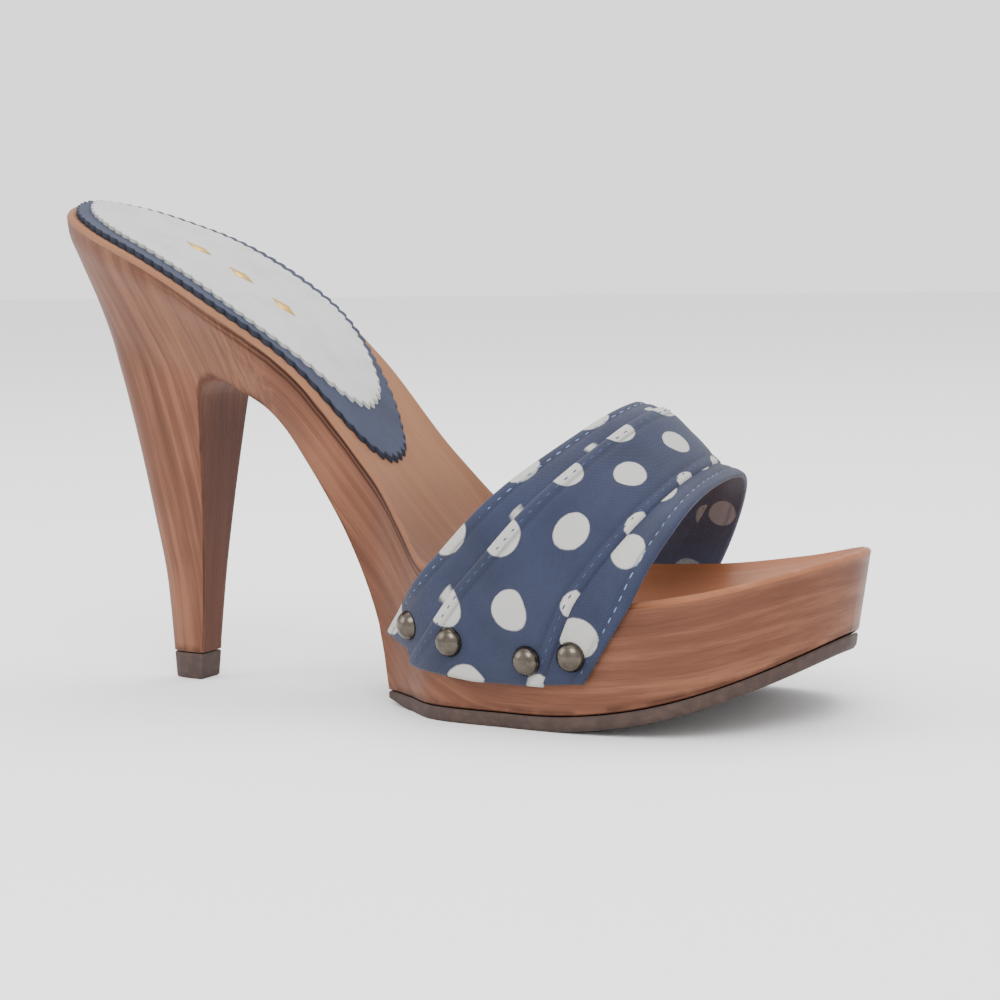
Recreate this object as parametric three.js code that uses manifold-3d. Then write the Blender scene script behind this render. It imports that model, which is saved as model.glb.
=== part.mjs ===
// A wooden platform mule, right shoe: one carved sole with its heel, a rubber outsole and heel tip,
// a heel pad and a pale sock, and one wide cloth strap of three sewn strips nailed to both sides.
// Millimetres. X runs from the heel to the toe, +Y to the wearer's left (the inner side), Z up.
import * as THREE from "three";
import { mergeVertices } from "three/addons/utils/BufferGeometryUtils.js";
import Module from "manifold-3d";

const wasm = await Module();
wasm.setup();

// The carved sole
const LENGTH = 222;
const SEAT_HEIGHT = 129; // rim of the heel seat above the floor
const PLATFORM_HEIGHT = 30.5; // rim at the ball above the floor
const TOE_RIM_RISE = 11; // rim at the toe above the rim at the ball
const TOE_SPRING = 19.5; // lowest edge of the toe above the floor
const TOE_SPRING_START = 149; // where the bottom leaves the floor
const TOE_RAKE = 6.4; // how far the toe's front would lean back if it reached the floor
const SEAT_HALF_WIDTH = 30;
const WAIST_HALF_WIDTH = 24;
const BALL_HALF_WIDTH = 41.2;
const WALL_DRAFT = 0.055; // how much the side walls lean in, for each millimetre down
const EDGE_ROUND = 1.8; // radius of the rounded top edge
const ARCH_HEIGHT = 82.2; // top of the arch above the floor
const ARCH_FILLET = 7; // between the heel breast and the arch
const PLATFORM_BACK = 102; // back face of the platform at its foot
const HEEL_TIP_BACK = 24.6; // back of the heel at the floor
const HEEL_TIP_LENGTH = 10.2; // from that back to the heel breast
const HEEL_TIP_HALF_WIDTH = 4.8;
const BREAST_LEAN = 0.1; // forward, for each millimetre up
const HEEL_BLUNTNESS = 0.62; // the heel's back is rounder than the seat's when this is below 1
const HEEL_BLEND = { start: 56, end: 90 }; // where the heel's flare turns into the shank's wall
const HEEL_SQUEEZE_END = 78;
const SPINE_INSET = 24; // the middle line stops this far from the heel and the toe

// The rubber
const HEEL_TIP_HEIGHT = 7;
const OUTSOLE_THICKNESS = 3.5;
const OUTSOLE_SKIVE = 10; // length of its thinned rear end
const SKIVED_THICKNESS = 1.9;

// The heel pad and the sock on it
const PAD_THICKNESS = 1.4;
const SOCK_THICKNESS = 0.8;
const PAD_START = 2.2;
const PAD_END = 99;
const SOCK_START = 5;
const SOCK_END = 89.5;

// The strap
const STRIP_THICKNESS = 1.8;
const PANEL_STEP = 0.9; // the middle strip lies on the two outer ones
const STEP_RUN = 0.006; // share of the strap's width that a step takes
const CREST_SIDE = { rear: 4, front: 2 }; // how far the top of its arch lies to the inner side
const MEDIAL_SHIFT = { rear: -2, front: -13 }; // how far forward it lies on the inner side

// The nails
const NAIL_HEAD_RADIUS = 3.7;
const NAIL_HEAD_HEIGHT = 2.7;
const NAIL_SHANK_RADIUS = 0.9;
const NAIL_LENGTH = 11;
const NAIL_STAND = 0.5; // gap under the head, which is flat where the strap is curved

const CLEARANCE = 0.3;
const OUTLINE_STEPS = 42; // points along each side
const ARCH_STEPS = 26;
const STRAP_COLUMNS = { rear: 5, middle: 7, front: 4 };
const FAR = 60; // how far a cutting block reaches past the wood

// Rings of the footbed, from its edge (1) in to its middle line (0).
const FOOTBED_SHARES = [1, 0.93, 0.84, 0.66, 0.35, 0];

// The plan outline of the top: half widths to each side at shares of the length.
const OUTLINE = [
  { at: 0.03, of: SEAT_HALF_WIDTH, lateral: 0.62, medial: 0.61 },
  { at: 0.08, of: SEAT_HALF_WIDTH, lateral: 0.88, medial: 0.865 },
  { at: 0.15, of: SEAT_HALF_WIDTH, lateral: 1, medial: 0.98 },
  { at: 0.25, of: SEAT_HALF_WIDTH, lateral: 0.995, medial: 0.98 },
  { at: 0.35, of: WAIST_HALF_WIDTH, lateral: 0.99, medial: 1.03 },
  { at: 0.45, of: WAIST_HALF_WIDTH, lateral: 0.925, medial: 1.04 },
  { at: 0.5, of: WAIST_HALF_WIDTH, lateral: 1.17, medial: 1.14 },
  { at: 0.55, of: BALL_HALF_WIDTH, lateral: 0.875, medial: 0.775 },
  { at: 0.65, of: BALL_HALF_WIDTH, lateral: 0.95, medial: 0.925 },
  { at: 0.75, of: BALL_HALF_WIDTH, lateral: 1, medial: 1 },
  { at: 0.85, of: BALL_HALF_WIDTH, lateral: 0.965, medial: 0.975 },
  { at: 0.93, of: BALL_HALF_WIDTH, lateral: 0.745, medial: 0.82 },
  { at: 0.98, of: BALL_HALF_WIDTH, lateral: 0.41, medial: 0.43 },
];

// The rim seen from the side: rise is the share of the way from the ball's rim up to the seat's,
// spring the share of the toe's rise, and hollow the depth of the footbed in millimetres.
const RIM = [
  { at: 0, rise: 1, spring: 0, hollow: 0.8 },
  { at: 0.08, rise: 0.926, spring: 0, hollow: 0.8 },
  { at: 0.16, rise: 0.849, spring: 0, hollow: 0.8 },
  { at: 0.25, rise: 0.732, spring: 0, hollow: 0.8 },
  { at: 0.35, rise: 0.56, spring: 0, hollow: 0.9 },
  { at: 0.45, rise: 0.298, spring: 0, hollow: 1.1 },
  { at: 0.55, rise: 0.079, spring: 0, hollow: 1.8 },
  { at: 0.65, rise: 0.002, spring: 0, hollow: 2.6 },
  { at: 0.75, rise: 0, spring: 0.06, hollow: 3 },
  { at: 0.87, rise: 0, spring: 0.36, hollow: 3 },
  { at: 1, rise: 0, spring: 1, hollow: 3 },
];

// The heel below its seat: down is a share of the height above the floor, back the share of the
// way that its back has come forward, and wide the share of the seat's extra width that is left.
const HEEL = [
  { down: 0, back: 0, wide: 1 },
  { down: 0.04, back: 0.01, wide: 0.94 },
  { down: 0.1, back: 0.095, wide: 0.78 },
  { down: 0.2, back: 0.275, wide: 0.545 },
  { down: 0.3, back: 0.42, wide: 0.34 },
  { down: 0.45, back: 0.605, wide: 0.225 },
  { down: 0.65, back: 0.805, wide: 0.103 },
  { down: 0.8, back: 0.935, wide: 0.04 },
  { down: 1, back: 1, wide: 0 },
];

// The shank's underside, from the top of the arch forward and down to the platform's foot.
const SHANK = [
  { forward: 0.17, high: 0.99 },
  { forward: 0.3, high: 0.94 },
  { forward: 0.45, high: 0.845 },
  { forward: 0.57, high: 0.74 },
  { forward: 0.67, high: 0.645 },
  { forward: 0.76, high: 0.545 },
  { forward: 0.84, high: 0.43 },
  { forward: 0.91, high: 0.31 },
  { forward: 0.96, high: 0.2 },
  { forward: 0.985, high: 0.09 },
];

// The pad's and the sock's half widths as shares of the footbed's, at shares of their own length.
const PAD = [
  { at: 0, lateral: 1, medial: 1 },
  { at: 0.62, lateral: 1, medial: 1 },
  { at: 0.72, lateral: 0.97, medial: 0.98 },
  { at: 0.8, lateral: 0.87, medial: 0.9 },
  { at: 0.88, lateral: 0.7, medial: 0.78 },
  { at: 0.94, lateral: 0.5, medial: 0.58 },
  { at: 0.985, lateral: 0.24, medial: 0.33 },
  { at: 1, lateral: 0, medial: 0 },
];
const SOCK = [
  { at: 0, lateral: 0, medial: 0 },
  { at: 0.04, lateral: 0.62, medial: 0.66 },
  { at: 0.1, lateral: 0.74, medial: 0.78 },
  { at: 0.3, lateral: 0.84, medial: 0.86 },
  { at: 0.55, lateral: 0.86, medial: 0.88 },
  { at: 0.72, lateral: 0.88, medial: 0.91 },
  { at: 0.82, lateral: 0.8, medial: 0.84 },
  { at: 0.9, lateral: 0.64, medial: 0.68 },
  { at: 0.97, lateral: 0.36, medial: 0.4 },
  { at: 1, lateral: 0, medial: 0 },
];

// Lines across the strap's width on the outer side, from its rear edge to its front edge: where
// each one starts at the foot of the wood's wall and where it crosses the rim.
const STRAP_LINES = [
  { across: 0, footX: 104.9, footZ: 19.6, rimX: 123.3 },
  { across: 0.249, footX: 120.3, footZ: 16.4, rimX: 134.6 },
  { across: 0.251, footX: 120.4, footZ: 14.1, rimX: 134.7 },
  { across: 0.53, footX: 138, footZ: 12.4, rimX: 150 },
  { across: 0.8, footX: 157.4, footZ: 12.6, rimX: 166 },
  { across: 1, footX: 168, footZ: 13.5, rimX: 180.5 },
];
const SEAMS = { rear: 0.25, front: 0.8 };

// The top of the strap's inner face, from its rear edge to its front edge, and the shares by which
// its arch is wider than an ellipse low down (shoulder) and at the top (roof).
const STRAP_CREST = [
  { across: 0, x: 161.2, z: 74.6, shoulder: 0.18, roof: 0 },
  { across: 0.25, x: 168.4, z: 72.2, shoulder: 0.13, roof: 0 },
  { across: 0.53, x: 175.4, z: 66, shoulder: 0.06, roof: 0 },
  { across: 0.8, x: 182.2, z: 59.4, shoulder: 0, roof: -0.04 },
  { across: 1, x: 187.2, z: 57, shoulder: 0.02, roof: 0.35 },
];

// Where each nail goes through the strap: shares of its width and of its height up the wood's wall.
const NAILS = [
  { across: 0.125, up: 0.325, onPanel: false },
  { across: 0.337, up: 0.42, onPanel: true },
  { across: 0.692, up: 0.293, onPanel: true },
  { across: 0.9, up: 0.35, onPanel: false },
];

// A smooth curve through a table's rows that never overshoots them.
function tableCurve(rows, from, to) {
  const x = rows.map((row) => row[from]);
  const y = rows.map((row) => row[to]);
  const last = rows.length - 1;
  const slope = x.slice(1).map((next, i) => (y[i + 1] - y[i]) / (next - x[i]));
  const tangent = x.map((_, i) => {
    if (i === 0) return slope[0];
    if (i === last) return slope[last - 1];
    if (slope[i - 1] * slope[i] <= 0) return 0;
    return 2 / (1 / slope[i - 1] + 1 / slope[i]);
  });
  return (at) => {
    const t = THREE.MathUtils.clamp(at, x[0], x[last]);
    const i = Math.min(x.findLastIndex((v) => v <= t), last - 1);
    const span = x[i + 1] - x[i];
    const s = (t - x[i]) / span;
    const eased = s * s * (3 - 2 * s);
    const bend = span * s * (1 - s) * (tangent[i] * (1 - s) - tangent[i + 1] * s);
    return y[i] + (y[i + 1] - y[i]) * eased + bend;
  };
}

// The straight version of tableCurve, for tables with steps.
function tableLine(rows, from, to) {
  return (at) => {
    const i = Math.max(1, rows.findIndex((row) => row[from] >= at));
    const [a, b] = [rows[i - 1], rows[i]];
    return THREE.MathUtils.mapLinear(at, a[from], b[from], a[to], b[to]);
  };
}

const riseAt = tableCurve(RIM, "at", "rise");
const springAt = tableCurve(RIM, "at", "spring");
const hollowAt = tableCurve(RIM, "at", "hollow");
const heelBackAt = tableCurve(HEEL, "down", "back");
const heelWideAt = tableCurve(HEEL, "down", "wide");

// Height of the rim at a station.
function rimHeight(x) {
  const at = x / LENGTH;
  return PLATFORM_HEIGHT + (SEAT_HEIGHT - PLATFORM_HEIGHT) * riseAt(at) + TOE_RIM_RISE * springAt(at);
}

const SIDES = { lateral: -1, medial: 1 };

// One side of the plan outline, from the back of the heel to the tip of the toe.
function outlineSide(side) {
  const row = (r) => new THREE.Vector3(r.at * LENGTH, SIDES[side] * r.of * r[side], 0);
  const mirror = (p) => new THREE.Vector3(p.x, -p.y, 0);
  const points = OUTLINE.map(row);
  const back = new THREE.Vector3(0, 0, 0);
  const tip = new THREE.Vector3(LENGTH, 0, 0);
  const loop = [back, ...points, tip, ...points.map(mirror).reverse()];
  const curve = new THREE.CatmullRomCurve3(loop, true, "centripetal");
  const all = curve.getSpacedPoints(OUTLINE_STEPS * 2);
  return all.slice(0, OUTLINE_STEPS + 1);
}

const outline = { lateral: outlineSide("lateral"), medial: outlineSide("medial") };

// Half width of the plan outline at a station.
function halfWidth(x, side) {
  const line = outline[side];
  const at = THREE.MathUtils.clamp(x, line[1].x * 0.5, LENGTH - CLEARANCE);
  const i = Math.max(1, line.findIndex((p) => p.x >= at));
  return Math.abs(THREE.MathUtils.mapLinear(at, line[i - 1].x, line[i].x, line[i - 1].y, line[i].y));
}

// Half width of the platform's wall at a station and a height.
function wallHalfWidth(x, z, side) {
  return halfWidth(x, side) - WALL_DRAFT * (rimHeight(x) - z);
}

// A point of the outer wall: down is 0 at the rim and 1 at the floor.
function wallPoint(p, side, down) {
  const squeeze = HEEL_TIP_BACK * heelBackAt(down);
  const back = Math.max(0, 1 - p.x / HEEL_SQUEEZE_END);
  const toe = THREE.MathUtils.smoothstep(p.x, LENGTH * 0.86, LENGTH);
  const height = rimHeight(p.x) * (1 - down);
  const seat = Math.min(1, Math.abs(p.y) / SEAT_HALF_WIDTH);
  const blunt = THREE.MathUtils.lerp(1, HEEL_BLUNTNESS, Math.min(1, down * 3));
  const heelHalf = HEEL_TIP_HALF_WIDTH + (SEAT_HALF_WIDTH - HEEL_TIP_HALF_WIDTH) * heelWideAt(down);
  const share = THREE.MathUtils.smoothstep(p.x, HEEL_BLEND.start, HEEL_BLEND.end);
  const wall = Math.max(0, Math.abs(p.y) - WALL_DRAFT * (rimHeight(p.x) - height));
  const half = THREE.MathUtils.lerp(heelHalf * seat ** blunt, wall, share);
  return new THREE.Vector3(p.x + squeeze * back - TOE_RAKE * toe * down, SIDES[side] * half, height);
}

// The point of the middle line that faces an outline point.
function spinePoint(i) {
  const x = (outline.lateral[i].x + outline.medial[i].x) / 2;
  return new THREE.Vector3(THREE.MathUtils.clamp(x, SPINE_INSET, LENGTH - SPINE_INSET), 0, 0);
}

// One closed ring of points: the outer side from heel to toe, then the inner side back.
function ring(pointAt) {
  const there = outline.lateral.map((p, i) => pointAt(p, i, "lateral"));
  const back = outline.medial.map((p, i) => pointAt(p, i, "medial")).slice(1, -1);
  return [...there, ...back.reverse()];
}

// A ring on the footbed, inset from the rim: share is 1 at the edge round and 0 on the middle line.
function footbedRing(share, lift) {
  return ring((p, i) => {
    const spine = spinePoint(i);
    const reach = spine.distanceTo(p);
    const at = spine.clone().lerp(p, (share * (reach - EDGE_ROUND)) / reach);
    const hollow = hollowAt(at.x / LENGTH) * (1 - share ** 6);
    at.z = rimHeight(at.x) - hollow + lift;
    return at;
  });
}

// A ring of the rounded top edge, at an angle from the wall (0) to the footbed (90 degrees).
function edgeRing(degrees) {
  const turn = THREE.MathUtils.degToRad(degrees);
  return ring((p, i) => {
    const spine = spinePoint(i);
    const inset = EDGE_ROUND * (1 - Math.cos(turn));
    const at = p.clone().lerp(spine, inset / spine.distanceTo(p));
    at.z = rimHeight(at.x) - EDGE_ROUND * (1 - Math.sin(turn));
    return at;
  });
}

// A closed surface over rings of equal length, whose first and last rings fall onto a line. Each
// face is split along its shorter diagonal, so that surfaces that follow each other split alike.
function loft(rings) {
  const n = rings[0].length;
  const points = rings.flat();
  const position = points.flatMap((p) => [p.x, p.y, p.z]);
  const index = [];
  for (let j = 0; j + 1 < rings.length; j++) {
    for (let i = 0; i < n; i++) {
      const [a, b] = [j * n + i, j * n + ((i + 1) % n)];
      const [c, d] = [a + n, b + n];
      const along = points[a].distanceToSquared(points[d]);
      const against = points[b].distanceToSquared(points[c]);
      index.push(...(along < against ? [a, b, d, a, d, c] : [a, b, c, b, d, c]));
    }
  }
  const geometry = new THREE.BufferGeometry();
  geometry.setAttribute("position", new THREE.Float32BufferAttribute(position, 3));
  geometry.setIndex(index);
  return geometry;
}

// A geometry as a solid for cutting and joining.
function solid(geometry) {
  const bare = geometry.clone();
  bare.deleteAttribute("normal");
  bare.deleteAttribute("uv");
  const merged = mergeVertices(bare, 1e-3);
  const from = merged.index.array;
  const kept = [];
  for (let i = 0; i < from.length; i += 3) {
    const [a, b, c] = from.slice(i, i + 3);
    if (a !== b && b !== c && c !== a) kept.push(a, b, c);
  }
  const vertProperties = new Float32Array(merged.attributes.position.array);
  return new wasm.Manifold(new wasm.Mesh({ numProp: 3, vertProperties, triVerts: new Uint32Array(kept) }));
}

// A solid back as a geometry with flat faces.
function geometryOf(body) {
  const mesh = body.getMesh();
  const geometry = new THREE.BufferGeometry();
  geometry.setAttribute("position", new THREE.BufferAttribute(mesh.vertProperties, 3));
  geometry.setIndex(new THREE.BufferAttribute(mesh.triVerts, 1));
  const flat = geometry.toNonIndexed();
  flat.computeVertexNormals();
  return flat;
}

// A block that stands through the whole width, from a profile drawn in X and Z.
function sideBlock(profile) {
  const depth = 2 * (BALL_HALF_WIDTH + FAR);
  const geometry = new THREE.ExtrudeGeometry(new THREE.Shape(profile), { depth, bevelEnabled: false });
  geometry.rotateX(Math.PI / 2);
  geometry.translate(0, depth / 2, 0);
  return solid(geometry);
}

// A block that stands upright, from an outline drawn in X and Y.
function uprightBlock(points) {
  const depth = SEAT_HEIGHT + FAR;
  return solid(new THREE.ExtrudeGeometry(new THREE.Shape(points), { depth, bevelEnabled: false }));
}

// The block of wood before the arch and the bottom are cut: walls, rounded edge and footbed.
function blank() {
  const downs = [1, 0.9, 0.8, 0.7, 0.6, 0.5, 0.4, 0.3, 0.24, 0.18, 0.13, 0.08, 0.04];
  const floor = (z) => ring((p, i) => spinePoint(i).setZ(z));
  const wall = downs.map((down) => ring((p, i, side) => wallPoint(p, side, down)));
  const below = wall[0].map((p) => p.clone().setZ(-CLEARANCE));
  const edge = [0, 30, 60].map(edgeRing);
  const top = FOOTBED_SHARES.map((share) => footbedRing(share, 0));
  return solid(loft([floor(-CLEARANCE), below, ...wall, ...edge, ...top]));
}

// Height of the shoe's bottom above the floor, an arc from the ball to the toe.
function bottomHeight(x) {
  const run = LENGTH - TOE_SPRING_START;
  const radius = (run ** 2 + TOE_SPRING ** 2) / (2 * TOE_SPRING);
  const past = Math.max(0, x - TOE_SPRING_START);
  return radius - Math.sqrt(Math.max(0, radius ** 2 - past ** 2));
}

// The bottom line from the platform's back to past the toe, lifted by a thickness.
function bottomLine(lift) {
  const steps = 16;
  const end = LENGTH + 4;
  const line = [new THREE.Vector2(PLATFORM_BACK, lift)];
  for (let i = 0; i <= steps; i++) {
    const x = THREE.MathUtils.lerp(TOE_SPRING_START, end, i / steps);
    line.push(new THREE.Vector2(x, bottomHeight(x) + lift));
  }
  return line;
}

const breastX = (z) => HEEL_TIP_BACK + HEEL_TIP_LENGTH + BREAST_LEAN * z;

// The side profile of the wood below its footbed: heel breast, arch, shank and platform.
function woodProfile() {
  const foot = HEEL_TIP_HEIGHT + CLEARANCE;
  const bottom = OUTSOLE_THICKNESS + CLEARANCE;
  const archX = breastX(ARCH_HEIGHT - ARCH_FILLET) + ARCH_FILLET;
  const fillet = [180, 150, 120, 90].map((degrees) => {
    const turn = THREE.MathUtils.degToRad(degrees);
    const x = archX + ARCH_FILLET * Math.cos(turn);
    return new THREE.Vector2(x, ARCH_HEIGHT - ARCH_FILLET + ARCH_FILLET * Math.sin(turn));
  });
  const shank = SHANK.map((row) => {
    const x = THREE.MathUtils.lerp(archX, PLATFORM_BACK, row.forward);
    return new THREE.Vector2(x, THREE.MathUtils.lerp(bottom, ARCH_HEIGHT, row.high));
  });
  const line = bottomLine(bottom);
  const curve = new THREE.SplineCurve([fillet.at(-1), ...shank, line[0]]);
  const high = SEAT_HEIGHT + FAR;
  return [
    new THREE.Vector2(-FAR, foot),
    new THREE.Vector2(breastX(foot), foot),
    ...fillet,
    ...curve.getPoints(24).slice(1),
    ...line.slice(1),
    new THREE.Vector2(line.at(-1).x + FAR, line.at(-1).y),
    new THREE.Vector2(line.at(-1).x + FAR, high),
    new THREE.Vector2(-FAR, high),
  ];
}

// The outsole's side profile, thinned at its rear end.
function outsoleProfile() {
  const top = bottomLine(OUTSOLE_THICKNESS);
  const under = bottomLine(0).slice(1);
  const skive = [0, 0.25, 0.55, 1].map((share) => {
    const lift = (OUTSOLE_THICKNESS - SKIVED_THICKNESS) * (1 - share) ** 2;
    return new THREE.Vector2(PLATFORM_BACK + OUTSOLE_SKIVE * share, lift);
  });
  return [...skive, ...under, ...top.reverse()];
}

function heelTipProfile() {
  const low = new THREE.Vector2(breastX(0), 0);
  const high = new THREE.Vector2(breastX(HEEL_TIP_HEIGHT), HEEL_TIP_HEIGHT);
  return [new THREE.Vector2(-FAR, 0), low, high, new THREE.Vector2(-FAR, HEEL_TIP_HEIGHT)];
}

// A sheet that follows the footbed at a lift above it.
function footbedSheet(lift, thickness) {
  const under = FOOTBED_SHARES.map((share) => footbedRing(share, lift)).reverse();
  const over = FOOTBED_SHARES.map((share) => footbedRing(share, lift + thickness));
  return solid(loft([...under, ...over]));
}

// The plan outline of the pad or the sock.
function padOutline(rows, start, end) {
  const steps = 26;
  const spread = Array.from({ length: steps + 1 }, (_, i) => (1 - Math.cos((Math.PI * i) / steps)) / 2);
  const line = (side) => {
    const shareAt = tableCurve(rows, "at", side);
    return spread.map((at) => {
      const x = THREE.MathUtils.lerp(start, end, at);
      const from = THREE.MathUtils.clamp(x - start, 0, x);
      return new THREE.Vector2(x, SIDES[side] * (halfWidth(from, side) - EDGE_ROUND) * shareAt(at));
    });
  };
  return [...line("lateral"), ...line("medial").slice(1, -1).reverse()];
}

function heelPad() {
  const sheet = footbedSheet(CLEARANCE, PAD_THICKNESS);
  return sheet.intersect(uprightBlock(padOutline(PAD, PAD_START, PAD_END)));
}

function heelSock() {
  const sheet = footbedSheet(CLEARANCE + PAD_THICKNESS + CLEARANCE, SOCK_THICKNESS);
  return sheet.intersect(uprightBlock(padOutline(SOCK, SOCK_START, SOCK_END)));
}

const footXAt = tableLine(STRAP_LINES, "across", "footX");
const footZAt = tableLine(STRAP_LINES, "across", "footZ");
const rimXAt = tableLine(STRAP_LINES, "across", "rimX");
const crestXAt = tableCurve(STRAP_CREST, "across", "x");
const crestZAt = tableCurve(STRAP_CREST, "across", "z");
const shoulderAt = tableCurve(STRAP_CREST, "across", "shoulder");
const roofAt = tableCurve(STRAP_CREST, "across", "roof");

// Where a line of the strap crosses the rim on one side.
function strapRim(across, side) {
  const shift = side === "medial" ? THREE.MathUtils.lerp(MEDIAL_SHIFT.rear, MEDIAL_SHIFT.front, across) : 0;
  const x = rimXAt(across) + shift;
  return { x, z: rimHeight(x), shift };
}

// A point of the strap's inner face on the wood's wall: up is 0 at its foot and 1 at the rim.
function strapOnWall(across, up, side) {
  const rim = strapRim(across, side);
  const footX = footXAt(across) + rim.shift * across;
  const x = THREE.MathUtils.lerp(footX, rim.x, up);
  const z = THREE.MathUtils.lerp(footZAt(across), rim.z, up);
  return new THREE.Vector3(x, SIDES[side] * (wallHalfWidth(x, z, side) + CLEARANCE), z);
}

// The top of one of the strap's lines, and the slanting plane that the line lies in.
function strapCrest(across) {
  const side = THREE.MathUtils.lerp(CREST_SIDE.rear, CREST_SIDE.front, across);
  const top = new THREE.Vector3(crestXAt(across), side, crestZAt(across));
  const feet = ["lateral", "medial"].map((name) => strapOnWall(across, 1, name));
  return { top, plane: new THREE.Plane().setFromCoplanarPoints(feet[0], top, feet[1]) };
}

// A point of the strap's inner face over the foot: turn is 0 at the rim and a quarter turn at the top.
function strapOverFoot(across, turn, side) {
  const rim = strapOnWall(across, 1, side);
  const { top, plane } = strapCrest(across);
  const shoulder = shoulderAt(across) * Math.sin(3 * Math.min(turn, Math.PI / 3)) ** 2;
  const roof = roofAt(across) * THREE.MathUtils.smoothstep(turn, Math.PI / 6, Math.PI / 2);
  const y = top.y + (rim.y - top.y) * Math.cos(turn) * (1 + shoulder + roof);
  const z = THREE.MathUtils.lerp(rim.z, top.z, Math.sin(turn));
  const { normal, constant } = plane;
  return new THREE.Vector3(-(normal.y * y + normal.z * z + constant) / normal.x, y, z);
}

// One line of the strap's inner face, from the outer side's foot over the crest to the inner side's.
function strapLine(across) {
  const wallSteps = 5;
  const half = ARCH_STEPS / 2;
  const wall = (side) =>
    Array.from({ length: wallSteps }, (_, i) => strapOnWall(across, i / wallSteps, side));
  const arch = (side, count) =>
    Array.from({ length: count }, (_, i) => strapOverFoot(across, (Math.PI / 2) * (i / half), side));
  const there = [...wall("lateral"), ...arch("lateral", half + 1)];
  const back = [...wall("medial"), ...arch("medial", half)];
  return [...there, ...back.reverse()];
}

// The strap's wall at a share of its width: the middle strip is the thicker one.
function strapThickness(across) {
  const onPanel = across > SEAMS.rear && across < SEAMS.front;
  return STRIP_THICKNESS + (onPanel ? PANEL_STEP : 0);
}

// The strap as one closed wall, with a step up at each edge of its middle strip.
function strapWall() {
  const step = STEP_RUN / 2;
  const strip = (from, to, count) =>
    Array.from({ length: count + 1 }, (_, i) => THREE.MathUtils.lerp(from, to, i / count));
  const shares = [
    ...strip(0, SEAMS.rear - step, STRAP_COLUMNS.rear),
    ...strip(SEAMS.rear + step, SEAMS.front - step, STRAP_COLUMNS.middle),
    ...strip(SEAMS.front + step, 1, STRAP_COLUMNS.front),
  ];
  const inner = shares.map(strapLine);
  const outer = inner.map((line, j) =>
    line.map((p, i) => {
      const along = line[Math.min(i + 1, line.length - 1)].clone().sub(line[Math.max(i - 1, 0)]);
      const [before, after] = [inner[Math.max(j - 1, 0)], inner[Math.min(j + 1, inner.length - 1)]];
      const across = after[i].clone().sub(before[i]);
      const normal = across.cross(along).normalize();
      return p.clone().addScaledVector(normal, strapThickness(shares[j]));
    }),
  );
  const sections = inner[0].map((_, i) => [
    ...inner.map((line) => line[i]),
    ...outer.map((line) => line[i]).reverse(),
  ]);
  const ends = (section) => {
    const half = section.length / 2;
    return section.map((_, k) => {
      const j = k < half ? k : section.length - 1 - k;
      return section[j].clone().lerp(section[section.length - 1 - j], 0.5);
    });
  };
  return loft([ends(sections[0]), ...sections, ends(sections.at(-1))].reverse());
}

// Where a nail meets the strap's inner face, and which way it points out.
function nailPlace(nail, side) {
  const step = 0.05;
  const foot = strapOnWall(nail.across, nail.up, side);
  const across = strapOnWall(nail.across + step, nail.up, side).sub(foot);
  const along = strapOnWall(nail.across, nail.up + step, side).sub(foot);
  const out = across.cross(along).normalize();
  if (out.y * SIDES[side] < 0) out.negate();
  return { foot, out };
}

// A round piece turned about the nail's line; profile rows are radius and distance out of the wood.
function turned(profile, place) {
  const points = profile.map(([radius, out]) => new THREE.Vector2(radius, out));
  const geometry = new THREE.LatheGeometry(points, 12);
  const turn = new THREE.Quaternion().setFromUnitVectors(new THREE.Vector3(0, 1, 0), place.out);
  geometry.applyQuaternion(turn);
  geometry.translate(place.foot.x, place.foot.y, place.foot.z);
  return geometry;
}

// The lift of a nail's head above the strap's inner face, on what it holds down.
function headSeat(nail) {
  return STRIP_THICKNESS + (nail.onPanel ? PANEL_STEP : 0) + NAIL_STAND;
}

function nailGeometry(nail, place) {
  const seat = headSeat(nail);
  const tip = seat - NAIL_LENGTH;
  const dome = [20, 45, 70].map((degrees) => {
    const turn = THREE.MathUtils.degToRad(degrees);
    return [NAIL_HEAD_RADIUS * Math.cos(turn), seat + NAIL_HEAD_HEIGHT * Math.sin(turn)];
  });
  const shank = [
    [0, tip],
    [NAIL_SHANK_RADIUS, tip + 2 * NAIL_SHANK_RADIUS],
    [NAIL_SHANK_RADIUS, seat],
  ];
  const head = [[NAIL_HEAD_RADIUS, seat], ...dome, [0, seat + NAIL_HEAD_HEIGHT]];
  return turned([...shank, ...head], place);
}

// The hole that a nail needs in the strap and in the wood.
function nailHole(nail, place) {
  const radius = NAIL_SHANK_RADIUS + CLEARANCE;
  const [deep, high] = [headSeat(nail) - NAIL_LENGTH - CLEARANCE, headSeat(nail) + NAIL_HEAD_HEIGHT];
  return solid(turned([[0, deep], [radius, deep], [radius, high], [0, high]], place));
}

// Materials
const wood = () => new THREE.MeshStandardMaterial({ color: 0x9c6a50, roughness: 0.35, metalness: 0 });
const rubber = () => new THREE.MeshStandardMaterial({ color: 0x5a4d4b, roughness: 0.85, metalness: 0 });
const padLeather = () => new THREE.MeshStandardMaterial({ color: 0x3f4a66, roughness: 0.8, metalness: 0 });
const sockLining = () => new THREE.MeshStandardMaterial({ color: 0xd9d8d3, roughness: 0.6, metalness: 0 });
const strapCloth = () => new THREE.MeshStandardMaterial({ color: 0x434f70, roughness: 0.9, metalness: 0 });
const nailBrass = () => new THREE.MeshStandardMaterial({ color: 0x6e5f4e, roughness: 0.35, metalness: 1 });

function named(name, geometry, material) {
  const mesh = new THREE.Mesh(geometry, material);
  mesh.name = name;
  return mesh;
}

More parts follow.
